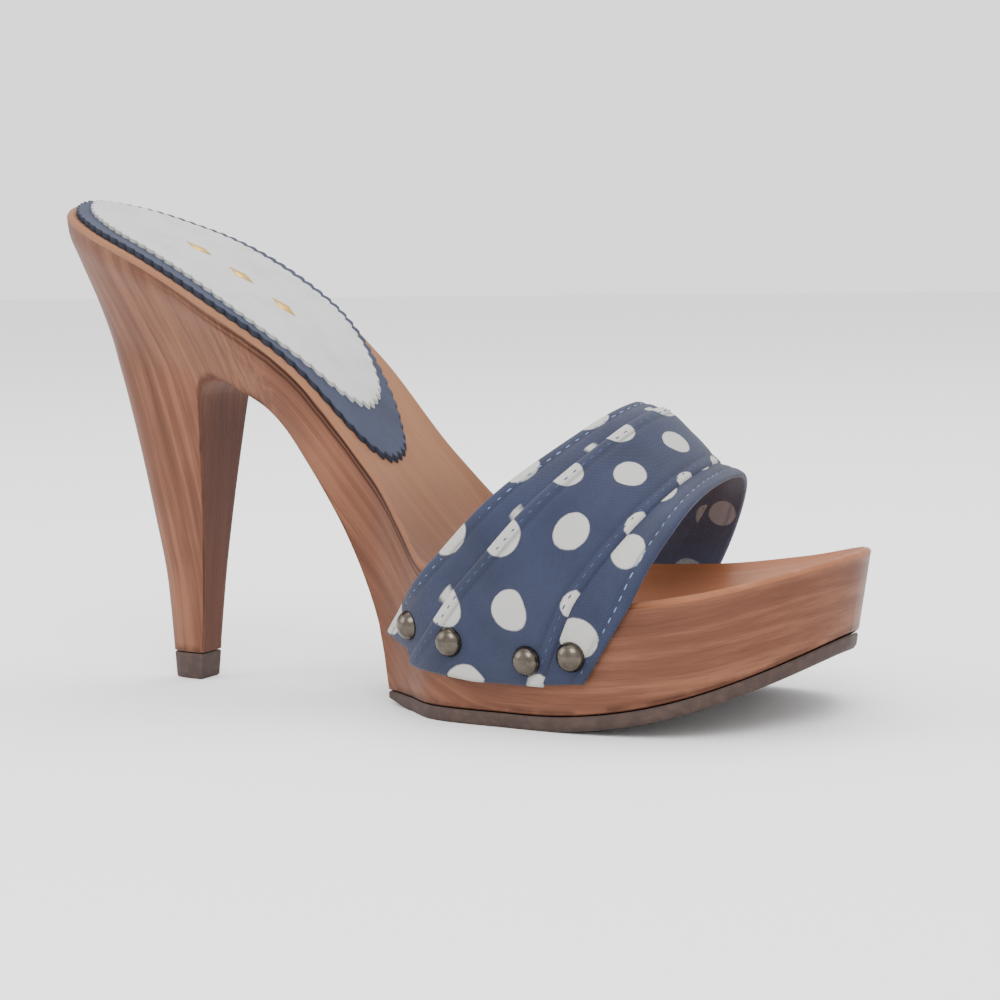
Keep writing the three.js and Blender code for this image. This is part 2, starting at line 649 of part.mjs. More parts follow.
// The sole and its rubber, all cut from one blank, with blind holes for the nails.
function soleParts(holes) {
  const body = blank();
  const carved = holes.reduce((rest, hole) => rest.subtract(hole), body.intersect(sideBlock(woodProfile())));
  return [
    named("sole_wood", geometryOf(carved), wood()),
    named("outsole", geometryOf(body.intersect(sideBlock(outsoleProfile()))), rubber()),
    named("heel_tip", geometryOf(body.intersect(sideBlock(heelTipProfile()))), rubber()),
  ];
}

function strapPart(holes) {
  const pierced = holes.reduce((rest, hole) => rest.subtract(hole), solid(strapWall()));
  return named("strap", geometryOf(pierced), strapCloth());
}

function shoe() {
  const group = new THREE.Group();
  const nails = Object.keys(SIDES).flatMap((side) =>
    NAILS.map((nail, i) => ({ name: `nail_${side}_${i + 1}`, nail, place: nailPlace(nail, side) })),
  );
  const holes = nails.map(({ nail, place }) => nailHole(nail, place));
  group.add(...soleParts(holes));
  group.add(named("heel_pad", geometryOf(heelPad()), padLeather()));
  group.add(named("heel_sock", geometryOf(heelSock()), sockLining()));
  group.add(strapPart(holes));
  group.add(...nails.map(({ name, nail, place }) => named(name, nailGeometry(nail, place), nailBrass())));
  const box = new THREE.Box3().setFromObject(group);
  const middle = box.getCenter(new THREE.Vector3());
  group.position.set(-middle.x, -middle.y, -box.min.z);
  return group;
}

export default shoe();
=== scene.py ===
"""Looks of the platform mule: dense forms, materials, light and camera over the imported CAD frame.

Shapes are worked out in the shoe's own millimetres: X from the heel's back to the toe, -Y on the
outer side, Z up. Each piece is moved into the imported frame, in metres, when its mesh is made.
"""
import logging
import math
from collections.abc import Callable
from dataclasses import dataclass, field
from enum import Enum

import bmesh
import bpy
import numpy as np
from mathutils import Matrix, Vector


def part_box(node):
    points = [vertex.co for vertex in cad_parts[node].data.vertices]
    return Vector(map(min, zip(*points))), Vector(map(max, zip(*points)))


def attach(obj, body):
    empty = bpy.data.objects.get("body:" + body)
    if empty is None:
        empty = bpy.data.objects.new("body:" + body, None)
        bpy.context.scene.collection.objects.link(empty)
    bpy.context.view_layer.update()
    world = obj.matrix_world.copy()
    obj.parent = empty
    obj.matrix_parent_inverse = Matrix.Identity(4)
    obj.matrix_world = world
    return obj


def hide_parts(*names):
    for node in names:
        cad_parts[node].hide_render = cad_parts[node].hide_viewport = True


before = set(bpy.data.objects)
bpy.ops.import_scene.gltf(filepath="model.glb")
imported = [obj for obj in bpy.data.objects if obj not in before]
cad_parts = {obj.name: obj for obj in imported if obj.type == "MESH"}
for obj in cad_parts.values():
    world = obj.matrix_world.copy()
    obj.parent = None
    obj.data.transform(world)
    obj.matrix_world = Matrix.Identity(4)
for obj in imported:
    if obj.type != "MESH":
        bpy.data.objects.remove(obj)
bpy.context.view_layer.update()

LOG = logging.getLogger("mule")
BODY = "root"
QUARTER = math.pi / 2
PER_METRE = 1000.0


class Side(Enum):
    """Sides of the shoe; the value is the sign of Y."""

    LATERAL = -1
    MEDIAL = 1


class Table:
    """A short table with named columns."""

    def __init__(self, columns: str, rows: list[tuple]) -> None:
        """Keep each column under its name."""
        self.values = dict(zip(columns.split(), np.array(rows, float).T))

    def curve(self, start: str, end: str) -> Callable:
        """Return a smooth curve through the rows that never overshoots them.

        Args:
            start: Column that the curve is read at.
            end: Column that it gives.

        Returns:
            A function of numbers or arrays.
        """
        x, y = self.values[start], self.values[end]
        slope = np.diff(y) / np.diff(x)
        tangent = np.concatenate([slope[:1], np.zeros(len(x) - 2), slope[-1:]])
        same = slope[:-1] * slope[1:] > 0
        tangent[1:-1][same] = 2 / (1 / slope[:-1][same] + 1 / slope[1:][same])

        def at(value: np.ndarray) -> np.ndarray:
            """Give the curve's height at a value."""
            t = np.clip(value, x[0], x[-1])
            i = np.clip(np.searchsorted(x, t, side="right") - 1, 0, len(x) - 2)
            span = x[i + 1] - x[i]
            s = (t - x[i]) / span
            bend = span * s * (1 - s) * (tangent[i] * (1 - s) - tangent[i + 1] * s)
            return y[i] + (y[i + 1] - y[i]) * s * s * (3 - 2 * s) + bend

        return at

    def line(self, start: str, end: str) -> Callable:
        """Return straight lines through the rows, for tables with steps."""
        return lambda value: np.interp(value, self.values[start], self.values[end])


def lerp(a: np.ndarray, b: np.ndarray, t: np.ndarray) -> np.ndarray:
    """Go from a to b by the share t."""
    return a + (b - a) * t


def smoothstep(value: np.ndarray, start: float, end: float) -> np.ndarray:
    """Rise softly from 0 at start to 1 at end."""
    s = np.clip((value - start) / (end - start), 0, 1)
    return s * s * (3 - 2 * s)


def unit(vectors: np.ndarray) -> np.ndarray:
    """Scale vectors to length 1."""
    return vectors / np.maximum(np.linalg.norm(vectors, axis=-1, keepdims=True), 1e-9)


def stack(x: np.ndarray, y: np.ndarray, z: np.ndarray) -> np.ndarray:
    """Join coordinates into points."""
    return np.stack(np.broadcast_arrays(x, y, z), axis=-1).astype(float)


def bell(value: np.ndarray, middle: float, width: float) -> np.ndarray:
    """A soft hump of height 1."""
    return np.exp(-(((value - middle) / width) ** 2))


def distances(points: np.ndarray) -> np.ndarray:
    """Give each point's distance from the first, along the line through them."""
    return np.concatenate([[0], np.cumsum(np.linalg.norm(np.diff(points, axis=0), axis=1))])


def resample(points: np.ndarray, run: np.ndarray, at: np.ndarray) -> np.ndarray:
    """Read a line of points, which lie at the places in run, at other places."""
    return np.stack([np.interp(at, run, column) for column in points.T], axis=1)

OUTLINE = Table(
    "at lateral medial",
    [
        (0.03, 18.6, 18.3),
        (0.08, 26.4, 25.95),
        (0.15, 30, 29.4),
        (0.25, 29.85, 29.4),
        (0.35, 23.76, 24.72),
        (0.45, 22.2, 24.96),
        (0.5, 28.08, 27.36),
        (0.55, 36.05, 31.93),
        (0.65, 39.14, 38.11),
        (0.75, 41.2, 41.2),
        (0.85, 39.76, 40.17),
        (0.93, 30.69, 33.78),
        (0.98, 16.89, 17.72),
    ],
)
RIM = Table(
    "at rise spring hollow",
    [
        (0, 1, 0, 0.8),
        (0.08, 0.926, 0, 0.8),
        (0.16, 0.849, 0, 0.8),
        (0.25, 0.732, 0, 0.8),
        (0.35, 0.56, 0, 0.9),
        (0.45, 0.298, 0, 1.1),
        (0.55, 0.079, 0, 1.8),
        (0.65, 0.002, 0, 2.6),
        (0.75, 0, 0.06, 3),
        (0.87, 0, 0.36, 3),
        (1, 0, 1, 3),
    ],
)
HEEL = Table(
    "down back wide",
    [
        (0, 0, 1),
        (0.04, 0.01, 0.94),
        (0.1, 0.095, 0.78),
        (0.2, 0.275, 0.545),
        (0.3, 0.42, 0.34),
        (0.45, 0.605, 0.225),
        (0.65, 0.805, 0.103),
        (0.8, 0.935, 0.04),
        (1, 1, 0),
    ],
)
SHANK = [
    (0.1, 0.983),
    (0.22, 0.943),
    (0.34, 0.902),
    (0.45, 0.838),
    (0.57, 0.738),
    (0.67, 0.645),
    (0.76, 0.545),
    (0.84, 0.43),
    (0.91, 0.31),
    (0.96, 0.2),
    (0.985, 0.09),
]


def spline(points: np.ndarray, closed: bool, power: float, steps: int) -> np.ndarray:
    """Sample a Catmull-Rom curve.

    Args:
        points: Points that it passes through.
        closed: Whether it returns to the first one.
        power: 0.5 for even parameters by distance, 0 for plain ones.
        steps: Samples for each span.

    Returns:
        The samples, with the last point.
    """
    points = np.asarray(points, float)
    if closed:
        around = np.vstack([points[-1:], points, points[:2]])
    else:
        ends = 2 * points[0] - points[1], 2 * points[-1] - points[-2]
        around = np.vstack([ends[:1], points, ends[1:]])
    t = np.linspace(0, 1, steps, endpoint=False)[:, None]
    out = []
    for a, b, c, d in zip(around, around[1:], around[2:], around[3:]):
        before, here, after = (np.linalg.norm(q - p) ** power for p, q in ((a, b), (b, c), (c, d)))
        start = ((b - a) / before - (c - a) / (before + here) + (c - b) / here) * here
        end = ((c - b) / here - (d - b) / (here + after) + (d - c) / after) * here
        square = 3 * (c - b) - 2 * start - end
        cubic = 2 * (b - c) + start + end
        out.append(b + start * t + square * t**2 + cubic * t**3)
    return np.vstack([*out, points[:1] if closed else points[-1:]])


@dataclass
class Last:
    """The shoe's form in millimetres, as in the CAD source."""

    length: float = 222
    seat_height: float = 129
    platform_height: float = 30.5
    toe_rim_rise: float = 11
    toe_spring: float = 19.5
    toe_spring_start: float = 149
    toe_rake: float = 6.4
    toe_rake_start: float = 0.86
    seat_half_width: float = 30
    wall_draft: float = 0.055
    edge_round: float = 1.8
    arch_height: float = 82.2
    arch_fillet: float = 7
    platform_back: float = 102
    heel_tip_back: float = 24.6
    heel_tip_length: float = 10.2
    heel_tip_half_width: float = 4.8
    breast_lean: float = 0.1
    heel_bluntness: float = 0.62
    heel_blunt_rate: float = 3
    heel_blend: tuple = (56, 90)
    heel_squeeze_end: float = 78
    spine_inset: float = 24
    hollow_power: int = 6
    wood_foot: float = 7.3
    wood_bottom: float = 3.8
    lines: dict = field(default_factory=dict)

    def __post_init__(self) -> None:
        """Work out the plan outline of each side and the profile's underside."""
        for side in Side:
            x = OUTLINE.values["at"] * self.length
            y = side.value * OUTLINE.values[side.name.lower()]
            there = np.stack([x, y], axis=1)
            back = there[::-1] * (1, -1)
            loop = np.vstack([[(0, 0)], there, [(self.length, 0)], back])
            half = spline(loop, True, 0.5, 60)[: 60 * (len(x) + 1) + 1]
            self.lines[side] = np.stack([np.maximum.accumulate(half[:, 0]), np.abs(half[:, 1])])
        self.under_line = self._underside()

    def _underside(self) -> np.ndarray:
        """Give the wood's lower profile as rising X and its heights."""
        arch_x = self.breast_x(self.arch_height - self.arch_fillet) + self.arch_fillet
        turn = np.radians(np.linspace(176, 90, 24))
        fillet_x = arch_x + self.arch_fillet * np.cos(turn)
        fillet_z = self.arch_height - self.arch_fillet * (1 - np.sin(turn))
        shank = [
            (lerp(arch_x, self.platform_back, a), lerp(self.wood_bottom, self.arch_height, h))
            for a, h in SHANK
        ]
        ends = (arch_x, self.arch_height), (self.platform_back, self.wood_bottom)
        curve = spline([ends[0], *shank, ends[1]], False, 0, 12)
        toe = np.linspace(self.platform_back + 0.5, self.length + 6, 200)
        foot = self.breast_x(self.wood_foot)
        x = np.concatenate([[-20, foot], fillet_x, curve[1:, 0], toe])
        z = [[self.wood_foot] * 2, fillet_z, curve[1:, 1], self.bottom(toe) + self.wood_bottom]
        rising = np.maximum.accumulate(x + np.arange(len(x)) * 1e-7)
        return np.stack([rising, np.concatenate(z)])

    def breast_x(self, z: np.ndarray) -> np.ndarray:
        """Front face of the heel at a height."""
        return self.heel_tip_back + self.heel_tip_length + self.breast_lean * z

    def rim(self, x: np.ndarray) -> np.ndarray:
        """Height of the rim at a station."""
        at = x / self.length
        rise = (self.seat_height - self.platform_height) * RIM.curve("at", "rise")(at)
        return self.platform_height + rise + self.toe_rim_rise * RIM.curve("at", "spring")(at)

    def bottom(self, x: np.ndarray) -> np.ndarray:
        """Height of the shoe's bottom above the floor."""
        run = self.length - self.toe_spring_start
        radius = (run**2 + self.toe_spring**2) / (2 * self.toe_spring)
        past = np.maximum(0, x - self.toe_spring_start)
        return radius - np.sqrt(np.maximum(0, radius**2 - past**2))

    def under(self, x: np.ndarray) -> np.ndarray:
        """Height of the wood's lower profile."""
        return np.interp(x, *self.under_line)

    def half_width(self, x: np.ndarray, side: Side) -> np.ndarray:
        """Half width of the plan outline at a station."""
        return np.interp(x, *self.lines[side])

    def even_stations(self, count: int) -> np.ndarray:
        """Give stations at even distances along the outer side's outline."""
        line = self.lines[Side.LATERAL]
        run = distances(line.T)
        return np.interp(np.linspace(0, run[-1], count), run, line[0])

    def wall(self, x: np.ndarray, side: Side, down: np.ndarray) -> np.ndarray:
        """Give points of the outer wall.

        Args:
            x: Stations on the rim.
            side: Side of the shoe.
            down: 0 at the rim and 1 at the floor.

        Returns:
            The points.
        """
        half = self.half_width(x, side)
        squeeze = self.heel_tip_back * HEEL.curve("down", "back")(down)
        back = np.maximum(0, 1 - x / self.heel_squeeze_end)
        toe = smoothstep(x, self.length * self.toe_rake_start, self.length)
        height = self.rim(x) * (1 - down)
        seat = np.minimum(1, half / self.seat_half_width)
        blunt = lerp(1, self.heel_bluntness, np.minimum(1, down * self.heel_blunt_rate))
        wide = HEEL.curve("down", "wide")(down)
        heel_half = self.heel_tip_half_width + (self.seat_half_width - self.heel_tip_half_width) * wide
        drafted = np.maximum(0, half - self.wall_draft * (self.rim(x) - height))
        share = smoothstep(x, *self.heel_blend)
        width = lerp(heel_half * seat**blunt, drafted, share)
        return stack(x + squeeze * back - self.toe_rake * toe * down, side.value * width, height)

    def footbed(self, x: np.ndarray, y: np.ndarray) -> np.ndarray:
        """Height of the footbed at plan points."""
        half = np.where(y < 0, self.half_width(x, Side.LATERAL), self.half_width(x, Side.MEDIAL))
        share = np.abs(y) / np.maximum(half - self.edge_round, 1e-6)
        edge_x, edge_y = self.lines[Side.LATERAL]
        back = edge_x < self.spine_inset
        turns = np.arctan2(edge_y[back], self.spine_inset - edge_x[back])
        reaches = np.hypot(edge_y[back], self.spine_inset - edge_x[back])
        ahead = self.spine_inset - x
        reach = np.interp(np.arctan2(np.abs(y), ahead), turns, reaches)
        round_share = np.hypot(ahead, y) / (reach - self.edge_round)
        share = np.clip(np.where(ahead > 0, round_share, share), 0, 1)
        return self.rim(x) - RIM.curve("at", "hollow")(x / self.length) * (1 - share**self.hollow_power)

    def column_end(self, x: np.ndarray) -> np.ndarray:
        """How far down each wall column meets the wood's lower profile."""
        downs = np.linspace(0.02, 1, 900)
        path = self.wall(x[:, None], Side.LATERAL, downs[None, :])
        gap = path[..., 2] - self.under(path[..., 0])
        last = np.argmax(gap < 0, axis=1)
        rows = np.arange(len(x))
        before, after = gap[rows, last - 1], gap[rows, last]
        return lerp(downs[last - 1], downs[last], before / (before - after))


LAST = Last()
WOOD_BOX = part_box("sole_wood")
TIP_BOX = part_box("heel_tip")
SHIFT = np.array([WOOD_BOX[0][0], (TIP_BOX[0][1] + TIP_BOX[1][1]) / 2, 0])


def to_frame(points: np.ndarray) -> np.ndarray:
    """Move points from the shoe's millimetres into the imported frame's metres."""
    return np.asarray(points, float) / PER_METRE + SHIFT


def add_object(name: str, data: bpy.types.ID) -> bpy.types.Object:
    """Put a mesh, a lamp or a camera into the scene."""
    thing = bpy.data.objects.new(name, data)
    bpy.context.scene.collection.objects.link(thing)
    return thing


def grid_mesh(
    name: str, points: np.ndarray, layers: dict[str, np.ndarray], join: float
) -> bpy.types.Mesh:
    """Join rows of points into one closed mesh, whose last column meets its first.

    Args:
        name: The mesh's name.
        points: Rows of points, in metres.
        layers: A value for each point, by name, which the shaders read.
        join: Distance in metres within which points become one.

    Returns:
        The mesh, smooth and with its faces outward.
    """
    rows, columns = points.shape[:2]
    faces = [
        (row + i, row + (i + 1) % columns, row + columns + (i + 1) % columns, row + columns + i)
        for row in range(0, (rows - 1) * columns, columns)
        for i in range(columns)
    ]
    mesh = bpy.data.meshes.new(name)
    mesh.from_pydata(points.reshape(-1, 3).tolist(), [], faces)
    for label, values in layers.items():
        layer = mesh.attributes.new(label, "FLOAT", "POINT")
        whole = np.broadcast_to(values, (rows, columns)).astype(np.float32)
        layer.data.foreach_set("value", whole.reshape(-1))
    work = bmesh.new()
    work.from_mesh(mesh)
    bmesh.ops.remove_doubles(work, verts=work.verts, dist=join)
    bmesh.ops.recalc_face_normals(work, faces=work.faces)
    work.to_mesh(mesh)
    work.free()
    mesh.shade_smooth()
    return mesh


def skin(
    name: str,
    points: np.ndarray,
    layers: dict[str, np.ndarray],
    material: bpy.types.Material,
    sharp: float,
) -> bpy.types.Object:
    """Make a piece from rows of points.

    Args:
        name: The piece's name.
        points: Rows of points, in millimetres.
        layers: A value for each point, by name.
        material: What it is made of.
        sharp: Angle in degrees from which an edge stays sharp.

    Returns:
        The piece.
    """
    mesh = grid_mesh(name, to_frame(points), layers, 2e-6)
    mesh.materials.append(material)
    mesh.set_sharp_from_angle(angle=math.radians(sharp))
    return add_object(name, mesh)


def place(piece: bpy.types.Object, slot: str, *nodes: str) -> bpy.types.Object:
    """Tie a piece to its body, and hide the CAD nodes that it stands for."""
    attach(piece, BODY)
    if nodes:
        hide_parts(*nodes)
    LOG.info("%s: %d faces", piece.name, len(piece.data.polygons))
    return piece


def linear(code: str) -> tuple[float, float, float, float]:
    """Turn a colour code such as 8a5f3c into scene colour."""
    parts = [int(code[i : i + 2], 16) / 255 for i in (0, 2, 4)]
    return *(p / 12.92 if p <= 0.04045 else ((p + 0.055) / 1.055) ** 2.4 for p in parts), 1.0


class Signal:
    """A shader socket that takes part in sums like a number or a vector."""

    def __init__(self, shader: "Shader", socket: bpy.types.NodeSocket) -> None:
        """Keep the socket and the shader that it belongs to."""
        self.shader = shader
        self.socket = socket

    def _maths(self, operation: str, *values: "Signal | float | tuple") -> "Signal":
        """Put values, of which this socket is one, into one maths node."""
        kind = "ShaderNodeVectorMath" if self.socket.type == "VECTOR" else "ShaderNodeMath"
        return self.shader.node(kind, {"operation": operation}, dict(enumerate(values)))

    def __add__(self, other: "Signal | float | tuple") -> "Signal":
        """Add."""
        return self._maths("ADD", self, other)

    def __sub__(self, other: "Signal | float | tuple") -> "Signal":
        """Take away."""
        return self._maths("SUBTRACT", self, other)

    def __rsub__(self, other: float | tuple) -> "Signal":
        """Take away from a plain value."""
        return self._maths("SUBTRACT", other, self)

    def __mul__(self, other: "Signal | float | tuple") -> "Signal":
        """Multiply."""
        return self._maths("MULTIPLY", self, other)

    def __truediv__(self, other: "Signal | float | tuple") -> "Signal":
        """Divide."""
        return self._maths("DIVIDE", self, other)

    def __pow__(self, other: "Signal | float") -> "Signal":
        """Raise to a power."""
        return self._maths("POWER", self, other)

    def call(self, operation: str, *others: "Signal | float") -> "Signal":
        """Use any other maths, such as FRACT, SINE, ABSOLUTE or MAXIMUM."""
        return self._maths(operation, self, *others)

    def step(self, start: float, end: float) -> "Signal":
        """Rise or fall softly from 0 at start to 1 at end."""
        settings = {"interpolation_type": "SMOOTHSTEP"}
        sockets = {"Value": self, 1: min(start, end), 2: max(start, end)}
        rise = self.shader.node("ShaderNodeMapRange", settings, sockets)
        return rise if start < end else 1 - rise

    def hump(self, middle: float, width: float) -> "Signal":
        """A soft hump of height 1 round a value."""
        return (self - middle).call("ABSOLUTE").step(width, 0.0)


class Shader:
    """One material, built on a Principled surface."""

    def __init__(self, name: str, surface: dict[str, float | tuple]) -> None:
        """Start a material with its uniform values."""
        self.material = bpy.data.materials.new(name)
        self.material.use_nodes = True
        self.tree = self.material.node_tree
        self.surface = self.tree.nodes["Principled BSDF"]
        for socket, value in surface.items():
            self.surface.inputs[socket].default_value = value

    def node(self, kind: str, settings: dict, sockets: dict, out: str | int = 0) -> Signal:
        """Add a node.

        Args:
            kind: Its type.
            settings: Its settings, which come first because they change its sockets.
            sockets: Signals or plain values for its inputs, by place, name or identifier.
            out: The output that is wanted.

        Returns:
            That output.
        """
        made = self.tree.nodes.new(kind)
        for name, value in settings.items():
            setattr(made, name, value)
        for key, value in sockets.items():
            named = [s for s in made.inputs if s.identifier == key]
            socket = named[0] if named else made.inputs[key]
            if isinstance(value, Signal):
                self.tree.links.new(value.socket, socket)
            else:
                socket.default_value = value
        return Signal(self, made.outputs[out])

    def value(self, name: str) -> Signal:
        """Read one of the piece's own values."""
        return self.node("ShaderNodeAttribute", {"attribute_name": name}, {}, "Fac")

    def vector(self, x: Signal | float, y: Signal | float, z: Signal | float = 0.0) -> Signal:
        """Join three signals into a vector."""
        return self.node("ShaderNodeCombineXYZ", {}, {0: x, 1: y, 2: z})

    def where(self) -> Signal:
        """Read Object coordinates, in millimetres."""
        return self.node("ShaderNodeTexCoord", {}, {}, "Object") * ((PER_METRE,) * 3)

    def axes(self, vector: Signal) -> list[Signal]:
        """Split a vector into its three parts."""
        return [self.node("ShaderNodeSeparateXYZ", {}, {0: vector}, axis) for axis in "XYZ"]

    def noise(self, vector: Signal, scale: float, detail: float = 2.0, twist: float = 0.0) -> Signal:
        """Give a cloudy value round 0.5."""
        sockets = {"Vector": vector, "Scale": scale, "Detail": detail, "Distortion": twist}
        return self.node("ShaderNodeTexNoise", {}, sockets, "Fac")

    def mix(self, first: Signal | str, second: Signal | str, share: Signal | float) -> Signal:
        """Mix two colours, which are signals or codes, by a share."""
        a, b = (linear(c) if isinstance(c, str) else c for c in (first, second))
        sockets = {"Factor_Float": share, "A_Color": a, "B_Color": b}
        return self.node("ShaderNodeMix", {"data_type": "RGBA"}, sockets, 2)

    def paint(self, **signals: Signal) -> bpy.types.Material:
        """Feed the surface, each by its socket's name with _ for a space."""
        for name, signal in signals.items():
            self.tree.links.new(signal.socket, self.surface.inputs[name.replace("_", " ")])
        return self.material

    def bump(self, height: Signal, strength: float, distance: float) -> Signal:
        """Turn a height into a normal, with the distance in metres."""
        sockets = {"Height": height, "Strength": strength, "Distance": distance}
        return self.node("ShaderNodeBump", {}, sockets)


@dataclass(frozen=True)
class WoodFinish:
    """Colours of the lacquered wood."""

    light: str = "7b5340"
    middle: str = "613f31"
    dark: str = "442a20"
    pale: str = "946a4c"
    burnt: str = "1a0c08"
    # lighter amber for the toe bed: partly the wood's own orange tone, partly painted light where the strap
    # shades it
    amber_and_painted_light: str = "935c3d"
    # painted shade: the colour that the arch's lower faces are darkened toward
    breast: str = "4a281e"

    def material(self) -> bpy.types.Material:
        """Lacquered wood: lengthwise grain, upright in the heel, with dark lines along the edges, a painted
        highlight along the rim, painted shade under the arch and painted light on the toe bed.
        """
        shader = Shader("lacquered_wood", {"Coat Roughness": 0.12, "Specular IOR Level": 0.08})
        below, above, bed, station = (shader.value(n) for n in ("below", "above", "bed", "station"))
        where = shader.where()
        parts = shader.axes(where)
        heel = station.step(72.0, 46.0) * (1 - bed)
        inner = above.step(-0.2, -1.5) * (1 - bed)
        spread = parts[1] * (bed * 0.45 + inner * 0.85 + 0.05)
        lengthwise = shader.vector(parts[0] * 0.025, spread, below * (1 - bed) * (1 - inner) * 0.55)
        upright = shader.vector(station * (1 - inner) * 0.62, spread, parts[2] * 0.03)
        sockets = {"Factor_Float": heel, "A_Vector": lengthwise, "B_Vector": upright}
        flow = shader.node("ShaderNodeMix", {"data_type": "VECTOR"}, sockets, 1)
        broad = shader.noise(flow, 0.5, 3.0, 0.6)
        fine = shader.noise(flow, 4.2, 4.0, 0.2)
        cloud = shader.noise(where, 0.03, 2.0)
        tone = broad * 0.75 + fine * 0.35 + cloud * 0.5
        base = shader.mix(self.middle, self.light, tone.step(0.72, 1.05))
        base = shader.mix(base, self.dark, tone.step(0.78, 0.5) * 0.6)
        base = shader.mix(base, self.pale, bed * parts[0].step(20.0, -30.0) * 0.6)
        base = shader.mix(base, self.dark, fine.step(0.6, 0.7) * 0.2)
        toe = bed * parts[0].step(8.0, 30.0)
        # toe bed mixed toward a lighter amber: partly the wood's own tone, partly painted light where the
        # strap shades it
        base = shader.mix(base, self.amber_and_painted_light, toe * (broad * 0.5 + 0.5))
        wobble = shader.noise(where, 0.09, 2.0) * 1.6
        shank = parts[0].step(-85.0, -30.0) * parts[0].step(20.0, 5.0)
        line = ((below + wobble).hump(3.3, 1.1) + (below + wobble).hump(4.9, 1.0) * 0.8) * shank
        ahead = parts[0].step(30.0, 44.0) * parts[0].step(84.0, 58.0)
        front = (below + wobble * 0.4).hump(0.7, 0.8) * ahead
        # painted highlight: a light band along the rim's rounded edge
        rim_highlight = (below + wobble).hump(0.6, 1.5) * 0.45
        scorch = above.hump(0.4, 2.2) * shader.noise(where, 0.12, 3.0).step(0.35, 0.62)
        base = shader.mix(base, self.light, rim_highlight)
        base = shader.mix(base, self.burnt, (line + front).call("MINIMUM", 1.0) * 0.92)
        # painted shade on the arch's lower faces, fading out towards the fillet's top
        base = shader.mix(base, self.breast, inner * parts[2].step(84.0, 66.0) * 0.8)
        base = shader.mix(base, self.burnt, scorch * 0.6)
        rough = fine * 0.16 + bed * 0.1 + 0.34
        coat = broad.step(0.5, 0.7) * toe * 0.2 + toe * 0.02
        normal = shader.bump(fine * 0.5 + broad * 0.5 - line * 0.8, 0.35, 0.0004)
        return shader.paint(Base_Color=base, Roughness=rough, Coat_Weight=coat, Normal=normal)


